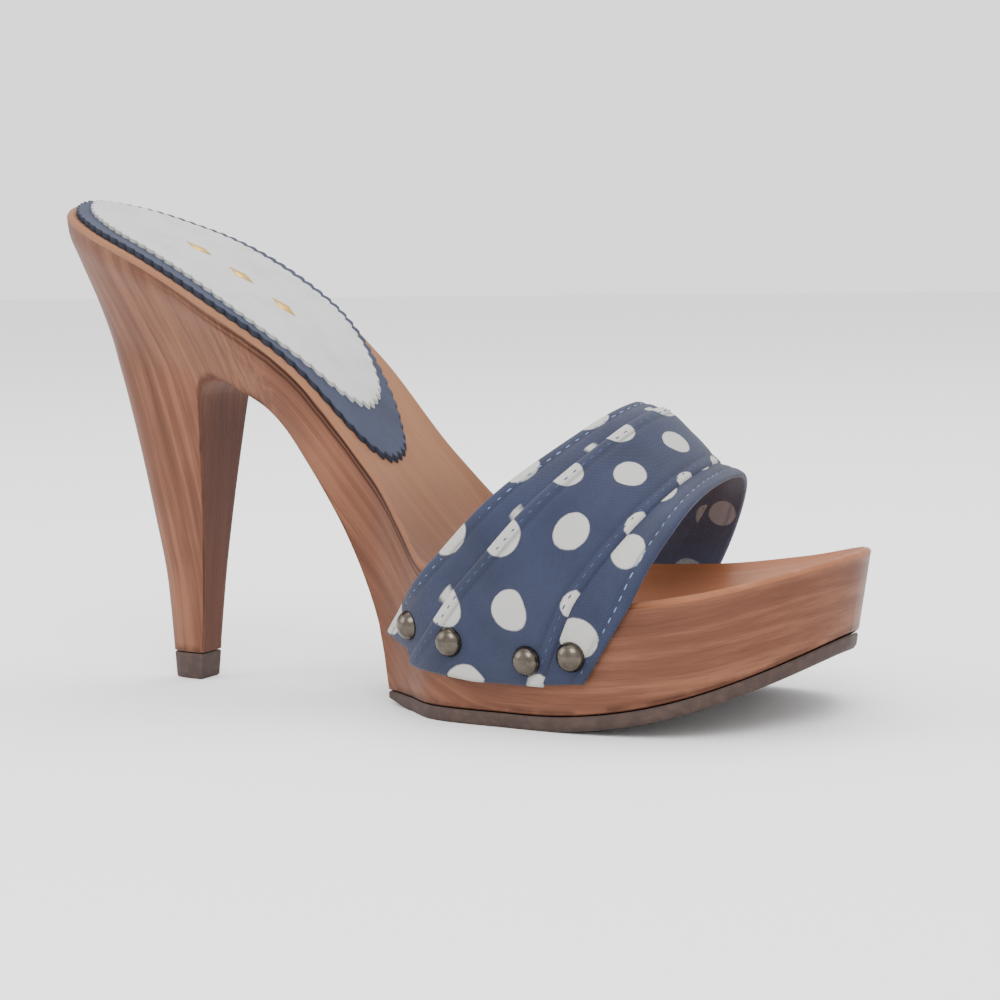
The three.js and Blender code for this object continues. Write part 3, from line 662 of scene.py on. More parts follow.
@dataclass
class Wood:
    """The carved sole: its walls follow the last, and its lower faces follow the side profile."""

    lower_round: float = 1.1
    wall_rows: int = 64
    bed_rows: int = 26
    cross_rows: int = 9
    foot_round: float = 0.35
    toe_inset: float = 30
    finish: WoodFinish = WoodFinish()

    def stations(self) -> np.ndarray:
        """Choose stations along the last, closer where the outline or the heel turns."""
        even = LAST.even_stations(210)
        breast = np.linspace(14, 38, 50)
        trial = np.linspace(12, 20, 400)
        down = 1 - LAST.wood_foot / LAST.rim(trial)
        past = LAST.wall(trial, Side.LATERAL, down)[:, 0] - LAST.breast_x(LAST.wood_foot)
        corner = np.interp(0, past, trial)
        both = np.concatenate([even, breast])
        keep = both[(np.abs(both - corner) > 0.2) & (np.abs(both - LAST.platform_back) > 0.3)]
        return np.unique(np.round([*keep, corner, LAST.platform_back], 4))

    def half_shell(self, x: np.ndarray, side: Side) -> tuple[np.ndarray, dict[str, np.ndarray]]:
        """Work out one side from the footbed's middle, over the edge and down to the bottom's middle.

        Args:
            x: Stations.
            side: Side of the shoe.

        Returns:
            Rows of points, and their values for the shader.
        """
        inset = LAST.spine_inset
        spine = stack(np.clip(x, inset, LAST.length - inset), 0, 0)
        edge = stack(x, side.value * LAST.half_width(x, side), 0)
        reach = np.linalg.norm(edge - spine, axis=1)[:, None]
        radius = LAST.edge_round
        rows, below = [], []
        hollow = RIM.curve("at", "hollow")
        for share in 1 - (1 - np.linspace(0, 1, self.bed_rows)) ** 1.6:
            at = spine + (edge - spine) * share * (reach - radius) / reach
            at[:, 2] = LAST.rim(at[:, 0]) - hollow(at[:, 0] / LAST.length) * (1 - share**LAST.hollow_power)
            rows.append(at)
            below.append(-(1 - share) * (reach[:, 0] - radius) - radius)
        for turn in np.radians([75, 60, 45, 30, 15]):
            lean = LAST.wall_draft * radius * (1 - math.sin(turn))
            at = edge + (spine - edge) * (radius * (1 - math.cos(turn)) + lean) / reach
            at[:, 2] = LAST.rim(at[:, 0]) - radius * (1 - math.sin(turn))
            rows.append(at)
            below.append(np.full(len(x), radius * (0.5 - math.sin(turn))))
        rim = LAST.rim(x)
        start, end = radius / rim, LAST.column_end(x)
        corner = LAST.wall(x, side, end)
        foot = corner[:, 0] < LAST.breast_x(LAST.wood_foot) + 0.01
        low_round = np.where(foot, self.foot_round, self.lower_round)
        stop = end - low_round / rim
        for share in np.linspace(0, 1, self.wall_rows):
            down = lerp(start, stop, share)
            rows.append(LAST.wall(x, side, down))
            below.append(down * rim)
        low = LAST.heel_tip_back + LAST.heel_tip_half_width
        last = LAST.length - self.toe_inset
        middle_x = np.where(foot, np.maximum(corner[:, 0], low), corner[:, 0])
        middle_x = np.minimum(middle_x, last)
        middle = stack(middle_x, 0, np.where(corner[:, 0] > last, LAST.under(middle_x), corner[:, 2]))
        inner = corner + unit(middle - corner) * low_round[:, None]
        above_corner = LAST.wall(x, side, stop)
        for t in np.linspace(0, 1, 6)[1:]:
            rows.append(lerp(lerp(above_corner, corner, t), lerp(corner, inner, t), t))
            below.append(end * rim + t)
        for share in np.linspace(0, 1, self.cross_rows)[1:]:
            at = lerp(inner, middle, share)
            toe = corner[:, 0] > LAST.toe_spring_start
            at[toe, 2] = LAST.under(at[toe, 0])
            rows.append(at)
            below.append(end * rim + 2 + share * 20)
        depth = np.array(below)
        bed = np.arange(len(rows))[:, None] < self.bed_rows + 5
        return np.array(rows), {
            "below": depth,
            "above": end * rim - depth,
            "bed": np.broadcast_to(bed, depth.shape),
            "station": np.broadcast_to(x, depth.shape),
        }

    def build(self) -> None:
        """Build the wood and let it stand for its CAD node."""
        x = self.stations()
        (outer, values), (inner, others) = (self.half_shell(x, side) for side in Side)
        ring = np.concatenate([outer, inner[:, -2:0:-1]], axis=1)
        layers = {k: np.concatenate([values[k], others[k][:, -2:0:-1]], axis=1) for k in values}
        place(skin("carved_sole", ring, layers, self.finish.material(), 38), "sole_wood", "sole_wood")


@dataclass(frozen=True)
class RubberFinish:
    """Colours of the rubber."""

    colour: str = "392b27"
    worn: str = "463731"

    def material(self) -> bpy.types.Material:
        """Dull rubber with a fine tread under it."""
        shader = Shader("rubber", {"Specular IOR Level": 0.3})
        where = shader.where()
        cloud = shader.noise(where, 0.35, 4.0)
        grit = shader.noise(where, 2.4, 2.0)
        base = shader.mix(self.colour, self.worn, cloud.step(0.4, 0.75))
        under = shader.value("under")
        parts = shader.axes(where)
        ribs = (parts[0] * 2.1).call("SINE") * (parts[1] * 2.1).call("SINE") * under
        normal = shader.bump(grit * 0.3 + ribs * 0.5, 0.4, 0.0005)
        return shader.paint(Base_Color=base, Roughness=cloud * 0.2 + 0.6, Normal=normal)


@dataclass
class Rubber:
    """The thin outsole and the heel's top piece."""

    thickness: float = 3.5
    skive: float = 10
    skived: float = 1.9
    tip_height: float = 7
    edge: float = 0.5
    narrowest: float = 1.5
    toe_inset: float = 34
    under_rows: int = 3
    finish: RubberFinish = RubberFinish()

    def outsole(self, material: bpy.types.Material) -> None:
        """Build the outsole between two lines that follow the shoe's bottom."""
        even = LAST.even_stations(260)
        narrow = np.minimum(*(LAST.half_width(even, side) for side in Side)) < self.narrowest
        inside = (even > LAST.platform_back + 0.3) & ~narrow
        x = np.array([LAST.platform_back, *even[inside], LAST.length])
        share = np.clip((x - LAST.platform_back) / self.skive, 0, 1)
        skived = (self.thickness - self.skived) * (1 - share) ** 2
        halves = []
        heights = [0, 0, *np.linspace(0, 1, 6), 1, 1]
        insets = [1, 0.5, *np.zeros(6), 0.5, 1]
        bevel = [0, 0, 1, 0, 0, 0, 0, 1, 0, 0]
        for side in Side:
            rows = []
            for height, inset, cut in zip(heights, insets, bevel):
                at = x.copy()
                for _ in range(6):
                    z = LAST.bottom(at) + lerp(skived, self.thickness, height)
                    down = 1 - z / LAST.rim(x)
                    wall = LAST.wall(x, side, down)
                    at = wall[:, 0]
                middle = stack(np.minimum(wall[:, 0], LAST.length - self.toe_inset), 0, 0)
                flat = wall * (1, 1, 0)
                gap = np.linalg.norm(middle - flat, axis=1)[:, None]
                move = inset * gap + cut * self.edge
                point = flat + (middle - flat) / gap * np.minimum(move, gap)
                lift = lerp(skived, self.thickness, height)
                rows.append(stack(point[:, 0], point[:, 1], LAST.bottom(point[:, 0]) + lift))
            halves.append(np.array(rows))
        ring = np.concatenate([halves[0], halves[1][:, -2::-1]], axis=1)
        under = np.arange(len(heights))[:, None] < self.under_rows
        place(skin("rubber_outsole", ring, {"under": under}, material, 40), "rubber", "outsole")

    def tip(self, material: bpy.types.Material) -> None:
        """Build the piece under the heel."""
        rows = []
        shares = np.sin(np.linspace(0, QUARTER, 26))
        side_heights = np.linspace(0.35, self.tip_height - 0.35, 8)
        heights = [0, 0, 0, 0.35, *side_heights, self.tip_height, self.tip_height]
        shrink = [0, 0.55, 0.93, 1, *np.ones(8), 0.95, 0]
        for z, size in zip(heights, shrink):
            trial = np.linspace(8, 24, 300)
            down = 1 - z / LAST.rim(trial)
            path = LAST.wall(trial, Side.LATERAL, down)
            last = np.interp(0, path[:, 0] - LAST.breast_x(z), trial)
            x = last * shares
            halves = [LAST.wall(x, side, 1 - z / LAST.rim(x)) for side in Side]
            ring = np.concatenate([halves[0], halves[1][:0:-1]])
            middle = stack(LAST.heel_tip_back + 5, 0, z)
            rows.append(lerp(middle, ring, size))
        under = np.arange(len(heights))[:, None] < self.under_rows
        piece = skin("heel_top_piece", np.array(rows), {"under": under}, material, 40)
        place(piece, "rubber", "heel_tip")


@dataclass(frozen=True)
class SheetFinish:
    """Colours and sheen of a lining sheet."""

    name: str
    colour: str
    dark: str
    roughness: float

    def material(self) -> bpy.types.Material:
        """Soft napped leather or smooth lining, darker along its cut edge."""
        shader = Shader(self.name, {"Specular IOR Level": 0.35})
        where = shader.where()
        cloud = shader.noise(where, 0.12, 4.0)
        grain = shader.noise(where, 2.2, 3.0)
        edge = shader.value("edge")
        base = shader.mix(self.colour, self.dark, cloud.step(0.35, 0.8) * 0.35)
        base = shader.mix(base, self.dark, edge.step(0.55, 1.0) * 0.8)
        rough = grain * 0.15 + self.roughness
        normal = shader.bump(grain * 0.7 + cloud, 0.25, 0.0003)
        return shader.paint(Base_Color=base, Roughness=rough, Normal=normal)


@dataclass
class Lining:
    """A thin sheet on the footbed with a pinked edge."""

    name: str
    slot: str
    table: Table
    start: float
    end: float
    lift: float
    thickness: float
    finish: SheetFinish
    tooth: float = 3.0
    depth: float = 1.0
    sunk: float = 0.25
    lean: float = 0.0
    lean_start: float = 0.6
    soften: int = 24
    tooth_points: int = 6

    def boundary(self, count: int = 2400) -> np.ndarray:
        """Give the plan outline without its teeth, evenly spaced."""
        at = (1 - np.cos(np.linspace(0, math.pi, 400))) / 2
        x = lerp(self.start, self.end, at)
        lines = []
        for side in Side:
            share = self.table.curve("at", side.name.lower())(at)
            wide = LAST.half_width(np.maximum(x - self.start, 0) + 0.3, side) - LAST.edge_round
            full = np.maximum(wide, 0)
            lean = self.lean * smoothstep(at, self.lean_start, 1.15)
            half = np.minimum(full * share + side.value * lean, full)
            lines.append(np.stack([x, side.value * half], axis=1))
        loop = np.vstack([lines[0], lines[1][-2::-1]])
        run = distances(loop)
        return resample(loop, run, np.linspace(0, run[-1], count, endpoint=False))

    def build(self) -> None:
        """Build the sheet and let it stand for its CAD node."""
        smooth = self.boundary()
        count = round(distances(smooth)[-1] / self.tooth) * self.tooth_points
        places = np.arange(len(smooth))
        smooth = resample(smooth, places, np.arange(count) * len(smooth) / count)
        for _ in range(self.soften):
            smooth = (np.roll(smooth, 1, axis=0) + 2 * smooth + np.roll(smooth, -1, axis=0)) / 4
        wave = np.abs(np.sin(np.arange(count) * math.pi / self.tooth_points))
        along = unit(np.roll(smooth, -1, axis=0) - np.roll(smooth, 1, axis=0))
        inward = np.stack([-along[:, 1], along[:, 0]], axis=1)
        middle = np.broadcast_to([lerp(self.start, self.end, 0.48), 0.0], smooth.shape)
        facing = np.sign(np.sum(inward * (middle - smooth), axis=1, keepdims=True))
        toothed = smooth + inward * facing * (self.depth * (1 - wave))[:, None]
        safe = smooth + inward * facing * self.depth * 1.35
        low, high = self.lift - self.sunk, self.lift + self.thickness
        inner = 1 - np.linspace(0, 1, 16)
        rings = [(lerp(middle, safe, s), low, 0) for s in inner[::-1]]
        rings += [(toothed, low, 1), (toothed, high - 0.15, 1), (lerp(toothed, safe, 0.15), high, 0.75)]
        rings += [(lerp(middle, safe, s), high, 0) for s in inner]
        points, edge = [], []
        for plan, lift, value in rings:
            points.append(stack(plan[:, 0], plan[:, 1], LAST.footbed(plan[:, 0], plan[:, 1]) + lift))
            edge.append(np.full(count, float(value)))
        piece = skin(self.name, np.array(points), {"edge": np.array(edge)}, self.finish.material(), 45)
        place(piece, self.slot, self.slot)


PAD = Table(
    "at lateral medial",
    [
        (0, 1, 1),
        (0.62, 1, 1),
        (0.72, 0.97, 0.98),
        (0.8, 0.87, 0.9),
        (0.88, 0.7, 0.78),
        (0.94, 0.5, 0.58),
        (0.985, 0.24, 0.33),
        (1, 0, 0),
    ],
)
SOCK = Table(
    "at lateral medial",
    [
        (0, 0.5, 0.5),
        (0.04, 0.69, 0.71),
        (0.1, 0.74, 0.78),
        (0.3, 0.8, 0.835),
        (0.55, 0.815, 0.85),
        (0.72, 0.835, 0.875),
        (0.82, 0.765, 0.82),
        (0.9, 0.62, 0.67),
        (0.97, 0.35, 0.4),
        (1, 0, 0),
    ],
)
STRAP_LINES = Table(
    "across foot_x foot_z rim_x",
    [
        (0, 104.9, 19.6, 123.3),
        (0.199, 117.2, 17.1, 132.3),
        (0.201, 117.3, 14.7, 132.4),
        (0.251, 120.4, 14.1, 134.7),
        (0.53, 138, 12.4, 150),
        (0.8, 157.4, 12.6, 166),
        (1, 168, 13.5, 180.5),
    ],
)
STRAP_CREST = Table(
    "across x z shoulder roof",
    [
        (0, 161.2, 74.6, 0.18, 0),
        (0.25, 168.4, 72.2, 0.13, 0),
        (0.53, 175.4, 66, 0.06, 0),
        (0.8, 182.2, 59.4, 0, -0.04),
        (1, 187.2, 57, 0.02, 0.35),
    ],
)
NAILS = Table(
    "across up panel",
    [(0.125, 0.325, 0), (0.337, 0.42, 1), (0.705, 0.293, 1), (0.875, 0.35, 0)],
)


@dataclass
class Form:
    """The strap's inner face, as in the CAD source."""

    clearance: float = 0.3
    crest_side: tuple = (4, 2)
    medial_shift: tuple = (-2, -13)
    far_fall: float = 3.0

    def rim(self, across: np.ndarray, side: Side) -> tuple[np.ndarray, np.ndarray]:
        """Where a line crosses the rim, and how far forward it is moved on the inner side."""
        shift = lerp(*self.medial_shift, across) if side is Side.MEDIAL else 0 * across
        return STRAP_LINES.line("across", "rim_x")(across) + shift, shift

    def on_wall(self, across: np.ndarray, up: np.ndarray, side: Side) -> np.ndarray:
        """Points on the wood's wall: up is 0 at the strap's foot and 1 at the rim."""
        rim_x, shift = self.rim(across, side)
        foot_x = STRAP_LINES.line("across", "foot_x")(across) + shift * across
        x = lerp(foot_x, rim_x, up)
        z = lerp(STRAP_LINES.line("across", "foot_z")(across), LAST.rim(rim_x), up)
        half = LAST.half_width(x, side) - LAST.wall_draft * (LAST.rim(x) - z)
        return stack(x, side.value * (half + self.clearance), z)

    def over_foot(self, across: np.ndarray, turn: np.ndarray, side: Side) -> np.ndarray:
        """Points over the foot: turn is 0 at the rim and a quarter turn at the top."""
        crest = {c: STRAP_CREST.curve("across", c)(across) for c in ("x", "z", "shoulder", "roof")}
        top = stack(crest["x"], lerp(*self.crest_side, across), crest["z"])
        feet = {s: self.on_wall(across, 1.0, s) for s in Side}
        normal = np.cross(top - feet[Side.LATERAL], feet[Side.MEDIAL] - feet[Side.LATERAL])
        rim = feet[side]
        shoulder = crest["shoulder"] * np.sin(3 * np.minimum(turn, math.pi / 3)) ** 2
        roof = crest["roof"] * smoothstep(turn, math.pi / 6, QUARTER)
        y = top[..., 1] + (rim[..., 1] - top[..., 1]) * np.cos(turn) * (1 + shoulder + roof)
        z = lerp(rim[..., 2], top[..., 2], np.sin(turn))
        if side is Side.MEDIAL:
            z = z - self.far_fall * 3.5 * np.sin(turn) ** 4 * np.cos(turn) * smoothstep(across, 0.95, 0.4)
        lean = normal[..., 1] * (y - top[..., 1]) + normal[..., 2] * (z - top[..., 2])
        return stack(top[..., 0] - lean / normal[..., 0], y, z)

    def sheet(self, across: np.ndarray, wall_rows: int = 26, arch_rows: int = 60) -> np.ndarray:
        """Work out lines from the outer foot over the crest to the inner foot.

        Args:
            across: Shares of the strap's width, one row for each line position or one for all.
            wall_rows: Positions on each wall.
            arch_rows: Positions on each side of the arch.

        Returns:
            Points by position along the strap and by share.
        """
        ups = np.linspace(0, 1, wall_rows, endpoint=False)
        turns = np.linspace(0, QUARTER, arch_rows, endpoint=False)
        where = [(Side.LATERAL, "wall", u) for u in ups] + [(Side.LATERAL, "arch", t) for t in turns]
        where += [(Side.MEDIAL, "arch", t) for t in (QUARTER, *turns[::-1])]
        where += [(Side.MEDIAL, "wall", u) for u in ups[::-1]]
        rows = np.broadcast_to(across, (len(where), np.shape(across)[-1]))
        out = []
        for row, (side, part, value) in zip(rows, where):
            make = self.on_wall if part == "wall" else self.over_foot
            out.append(make(row, np.full(len(row), value), side))
        sheet = np.array(out)
        kernel = np.array([1, 3, 5, 3, 1]) / 13
        soft = sum(k * np.roll(sheet, i - 2, axis=0) for i, k in enumerate(kernel))
        sheet[3:-3] = soft[3:-3]
        return sheet


FORM = Form()


class Strip(Enum):
    """The three strips: where each starts and ends across the strap, and where its dots start."""

    REAR = (0.0, 0.25, 0.0)
    PANEL = (0.2, 0.8, 0.2)
    FRONT = (0.75, 1.0, 0.8)


DOTS = {
    Strip.REAR: Table(
        "run count shift",
        [
            (-137.8, -5, -1.6),
            (-102.7, -4, -1.6),
            (-67.6, -3, -1.6),
            (-43, -2, -1.6),
            (-19, -1, -1.6),
            (3, 0, -1.6),
            (25, 1, -1.6),
            (47, 2, -1.6),
            (70, 3, -1.6),
            (94, 4, -1.6),
            (129, 5, -1.6),
        ],
    ),
    Strip.PANEL: Table(
        "run count shift",
        [
            (-142, -5, 14.2),
            (-95.5, -4, 14.2),
            (-71.3, -3, 14.2),
            (-47.7, -2, 14.2),
            (-28.1, -1, 14.2),
            (-10.2, 0, 14.2),
            (7.7, 1, 14.2),
            (27.3, 2, 14.2),
            (50.9, 3, 14.2),
            (74.5, 4, 14.2),
            (98.1, 5, 14.2),
        ],
    ),
    Strip.FRONT: Table(
        "run count shift",
        [
            (-115, -5, 3.3),
            (-91.6, -4, 3.3),
            (-68.1, -3, 3.3),
            (-44.6, -2, 2.7),
            (-25, -1, -3.2),
            (-7, 0, -5),
            (11, 1, -3.2),
            (39.8, 2, 4),
            (62, 3, 4),
            (85, 4, 4),
            (108, 5, 4),
        ],
    ),
}


@dataclass(frozen=True)
class ClothFinish:
    """Dots and colours of the navy cloth."""

    dot_gap: float = 23.7
    row_gap: float = 14.2
    dot_radius: float = 4.75
    navy: str = "2a3047"
    shade: str = "191e2f"
    dot: str = "a9a8a3"
    # painted light and shade: the flat grey that the shaded inside faces are mixed toward; the inside is the
    # same dotted cloth
    lining: str = "62667a"

    def material(self) -> bpy.types.Material:
        """Woven navy cloth with pale dots in staggered rows, painted shade along the stitched grooves and
        painted light and shade on the inside faces.
        """
        surface = {"Specular IOR Level": 0.25, "Sheen Weight": 0.1, "Sheen Roughness": 0.5}
        shader = Shader("dotted_cloth", surface)
        u, v, dot_u, dot_v = (shader.value(n) for n in ("u", "v", "dot_u", "dot_v"))
        inside = shader.value("inside")
        where = shader.where()
        ragged = (shader.noise(where, 0.6, 2.0) - 0.5) * 0.4
        masks = []
        for start in (0.0, 0.5):
            gaps = self.dot_gap, self.row_gap * 2
            cells = [
                ((x / gap + start + 0.5).call("FRACT") - 0.5) * gap
                for x, gap in zip((dot_u, dot_v), gaps)
            ]
            away = (cells[0] * cells[0] + cells[1] * cells[1]).call("SQRT")
            masks.append((away + ragged).step(self.dot_radius + 0.25, self.dot_radius - 0.25))
        dot = masks[0].call("MAXIMUM", masks[1])
        weave = (u * (2 * math.pi / 0.62)).call("SINE") * (v * (2 * math.pi / 0.62)).call("SINE")
        cloud = shader.noise(where, 0.05, 3.0)
        slub = shader.noise(shader.vector(u * 0.25, v * 3.0), 1.0, 3.0)
        cloth = shader.mix(self.navy, self.shade, cloud.step(0.3, 0.8) * 0.55 + slub * 0.2)
        base = shader.mix(cloth, self.dot, dot * 0.96)
        # painted shade along the stitched grooves
        base = shader.mix(base, self.shade, shader.value("seam") ** 3.0 * 0.6)
        # painted light and shade on the inside faces: the navy is lifted and the dots are dimmed toward a
        # flat grey
        base = shader.mix(base, self.lining, inside * 0.45)
        rough = slub * 0.1 + 0.78
        normal = shader.bump(weave * 0.35 + slub * 0.4 + dot * 0.35, 0.45, 0.00035)
        return shader.paint(Base_Color=base, Roughness=rough, Normal=normal)


@dataclass(frozen=True)
class ThreadFinish:
    """Twisted thread of one colour."""

    name: str
    colour: str
    navy: str = ClothFinish.navy

    def material(self) -> bpy.types.Material:
        """Fuzzy thread that takes some of the cloth's colour."""
        shader = Shader(self.name, {"Specular IOR Level": 0.3})
        fuzz = shader.noise(shader.where(), 3.0, 2.0)
        base = shader.mix(self.colour, self.navy, fuzz.step(0.4, 0.9))
        return shader.paint(Base_Color=base, Roughness=fuzz * 0.2 + 0.55)


@dataclass
class Strap:
    """The cloth upper: three strips, the middle one laid over the others and stitched down."""

    strip_thickness: float = 1.8
    panel_thickness: float = 2.7
    column_gap: float = 0.8
    cloth_width: float = 45
    groove: float = 0.3
    seam: tuple = (2.4, 0.8)
    thread_radius: float = 0.21
    tuck_lift: float = 0.06
    panel_reach: float = 0.87
    tail: float = 0.2
    tail_skew: float = 3.5
    finish: ClothFinish = ClothFinish()

    def columns(self, strip: Strip) -> tuple[np.ndarray, np.ndarray, np.ndarray]:
        """Lay out a strip's closed section.

        Args:
            strip: The strip.

        Returns:
            For each point: share of the strip's width, offset in millimetres, height.
        """
        thick = self.thickness(strip)
        half = thick / 2
        width = 46 * (strip.value[1] - strip.value[0])
        shares = np.linspace(0, 1, round(width / self.column_gap) + 1)
        turn = np.linspace(0, math.pi, 9)[1:-1]
        offset = half - 2 * half * shares
        share = np.concatenate([shares, np.ones(7), shares[::-1], np.zeros(7)])
        moved = np.concatenate([offset, half * (np.sin(turn) - 1), offset[::-1], half * (1 - np.sin(turn))])
        rise = half * (1 - np.cos(turn))
        height = np.concatenate([0 * shares, rise, 0 * shares + thick, thick - rise])
        return share, moved, height + (0 if strip is Strip.PANEL else self.tuck_lift)

    def thickness(self, strip: Strip) -> float:
        """Thickness of a strip, with what it lies on."""
        return self.panel_thickness if strip is Strip.PANEL else self.strip_thickness

    def frame_of(self, strip: Strip) -> dict[str, np.ndarray]:
        """Work out a strip's middle line, its directions and its width at each position."""
        start, end, _ = strip.value
        edges = FORM.sheet(np.array([start + 1e-4, (start + end) / 2, end - 1e-4]))
        middle = edges[:, 1]
        along = unit(np.gradient(middle, axis=0))
        across = edges[:, 2] - edges[:, 0]
        out = unit(np.cross(across, along))
        run = distances(middle)
        rims = FORM.sheet(np.array([0.0, 1.0]))
        return {
            "middle": middle,
            "along": along,
            "side": np.cross(along, out),
            "run": run - run[len(run) // 2],
            "width": np.linalg.norm(rims[:, 1] - rims[:, 0], axis=1),
        }

    def surface(self, strip: Strip, share: np.ndarray, moved: np.ndarray) -> dict[str, np.ndarray]:
        """Give a strip's inner face, its normals and its flat coordinates.

        Args:
            strip: The strip.
            share: Shares of the strip's width.
            moved: Offsets in millimetres, forward.

        Returns:
            Points, normals, and the coordinates along and across.
        """
        line = self.frame_of(strip)
        start, end, _ = strip.value
        across = lerp(start, end, share)[None, :] + moved[None, :] / line["width"][:, None]
        points = FORM.sheet(across)
        beside = FORM.sheet(across + 0.004)
        behind = FORM.sheet(across - 0.004)
        along = np.gradient(points, axis=0)
        normal = unit(np.cross(beside - behind, along))
        away = points - line["middle"][:, None]
        return {
            "points": points,
            "normal": normal,
            "along": unit(along),
            "u": line["run"][:, None] + np.sum(away * line["along"][:, None], axis=2),
            "v": np.sum(away * line["side"][:, None], axis=2),
        }

    def seams(self, strip: Strip, surface: dict, share: np.ndarray) -> np.ndarray:
        """Give 1 along a strip's stitch lines and 0 away from them."""
        width = np.ptp(surface["v"], axis=1, keepdims=True)
        near, far = share[None, :] * width, (1 - share[None, :]) * width
        lines = bell(far if strip is Strip.FRONT else near, *self.seam)
        return lines + bell(far, *self.seam) if strip is Strip.PANEL else lines

    def relief(self, strip: Strip, surface: dict, share: np.ndarray) -> np.ndarray:
        """Give the cloth's soft troughs and ridges: stitched grooves, puckers and a few pulls."""
        lines = self.seams(strip, surface, share)
        pucker = 0.75 + 0.25 * np.sin(surface["u"] * 2 * math.pi / 3.1)
        puff = 0.25 * np.sin(math.pi * share[None, :]) ** 0.5
        pulls = 0.22 * np.sin(surface["u"] / 9.5 + surface["v"] / 5.3) * np.sin(surface["u"] / 17 + 1.3)
        return puff + pulls * np.sin(math.pi * share[None, :]) - self.groove * lines * pucker

    def strip(self, strip: Strip, material: bpy.types.Material) -> bpy.types.Object:
        """Build one strip as a closed wall with rounded edges."""
        share, moved, height = self.columns(strip)
        surface = self.surface(strip, share, moved)
        thick = self.thickness(strip)
        outer = height > thick * 0.75
        lift = height[None, :] + np.where(outer[None, :], self.relief(strip, surface, share), 0)
        rows = surface["points"] + surface["normal"] * lift[..., None]
        heights = np.broadcast_to(height[None, :], lift.shape)
        values = {
            "u": surface["u"],
            "v": surface["v"],
            "inside": (heights < thick * 0.4) * 1.0,
            "seam": self.seams(strip, surface, share),
        }
        caps = []
        for end, sign in ((0, -1), (-1, 1)):
            rows_out = []
            for turn in np.radians([30, 60, 90]):
                flat = lerp(height, thick / 2, 1 - math.cos(turn))
                at = surface["points"][end] + surface["normal"][end] * flat[:, None]
                rows_out.append(at + sign * surface["along"][end] * thick / 2 * math.sin(turn))
            caps.append(rows_out)
        whole = np.concatenate([caps[0][::-1], rows, caps[1]])
        spread = {k: np.concatenate([v[:1].repeat(3, 0), v, v[-1:].repeat(3, 0)]) for k, v in values.items()}
        dots = DOTS[strip]
        across = self.cloth_width * (lerp(*strip.value[:2], share) - strip.value[2])
        dot_u = self.finish.dot_gap * dots.curve("run", "count")(spread["u"])
        dot_v = across[None, :] - dots.curve("run", "shift")(spread["u"])
        edge = self.finish.row_gap - self.finish.dot_radius
        if strip is Strip.FRONT:
            dot_v = np.minimum(dot_v, edge - 1)
        if strip is Strip.REAR:
            dot_u = dot_u - self.tail_skew * smoothstep(dot_v, self.finish.dot_radius, edge)
            dot_v = np.minimum(dot_v, edge + self.tail)
        if strip is Strip.PANEL:
            dot_v = np.where(dot_v > 0, dot_v * self.panel_reach, dot_v)
        layers = {**spread, "dot_u": dot_u, "dot_v": dot_v}
        return skin(f"strap_{strip.name.lower()}", whole, layers, material, 60)

    def stitch_points(self, strip: Strip, from_front: bool, inset: float, gap: float) -> list[np.ndarray]:
        """Find where the stitches of one line lie.

        Args:
            strip: The strip that they hold down.
            from_front: Whether the line follows the strip's front edge.
            inset: Distance from that edge.
            gap: Distance between stitches.

        Returns:
            Their points, directions along, and directions out.
        """
        share = np.array([1.0 if from_front else 0.0])
        moved = np.array([-inset if from_front else inset])
        surface = self.surface(strip, share, moved)
        lift = self.thickness(strip) - self.groove * 0.5 + 0.12
        line = (surface["points"] + surface["normal"] * lift)[:, 0]
        run = distances(line)
        at = np.arange(gap, run[-1] - gap / 2, gap)
        pick = [line, surface["along"][:, 0], surface["normal"][:, 0]]
        return [resample(values, run, at) for values in pick]

    def build(self) -> None:
        """Build the strips and their stitches."""
        cloth = self.finish.material()
        strips = [self.strip(strip, cloth) for strip in Strip]
        for piece in strips:
            place(piece, "strap", "strap")
        edge = [
            self.stitch_points(Strip.REAR, False, 2.4, 3.2),
            self.stitch_points(Strip.FRONT, True, 2.5, 3),
        ]
        panel = [
            self.stitch_points(Strip.PANEL, False, 2.4, 3),
            self.stitch_points(Strip.PANEL, True, 2.1, 3),
        ]
        for name, lines, colour, length in (
            ("edge_stitches", edge, "66799c", 1.9),
            ("panel_stitches", panel, "35425f", 1.6),
        ):
            points, along, out = (np.concatenate(part) for part in zip(*lines))
            thread = ThreadFinish(name, colour).material()
            rows = Scatter(name, capsule(length, self.thread_radius), thread)
            place(rows.build(points, along, out, 0.06), "strap")


def capsule(length: float, radius: float) -> bpy.types.Object:
    """Make one stitch: a short thread, bowed out of the cloth, along X."""
    rows = []
    for share in np.linspace(-1, 1, 9):
        size = radius * math.sqrt(max(0.0, 1 - abs(share) ** 4))
        turn = np.linspace(0, 2 * math.pi, 8, endpoint=False)
        dip = -0.3 * radius * share**2 * 2
        rows.append(stack(share * length / 2, size * np.cos(turn), size * np.sin(turn) + dip))
    return source("stitch", np.array(rows))


def dome(radius: float, height: float) -> bpy.types.Object:
    """Make one nail head: a dome with a small lip, out along Z."""
    profile = [(0, -0.45), (radius * 0.9, -0.45), (radius * 0.985, -0.3), (radius, 0), (radius * 0.97, 0.22)]
    for turn in np.radians(np.linspace(14, 90, 14)):
        profile.append((radius * 0.955 * math.cos(turn), height * math.sin(turn)))
    turn = np.linspace(0, 2 * math.pi, 40, endpoint=False)
    rows = [stack(r * np.cos(turn), r * np.sin(turn), z) for r, z in profile]
    return source("nail_head", np.array(rows))


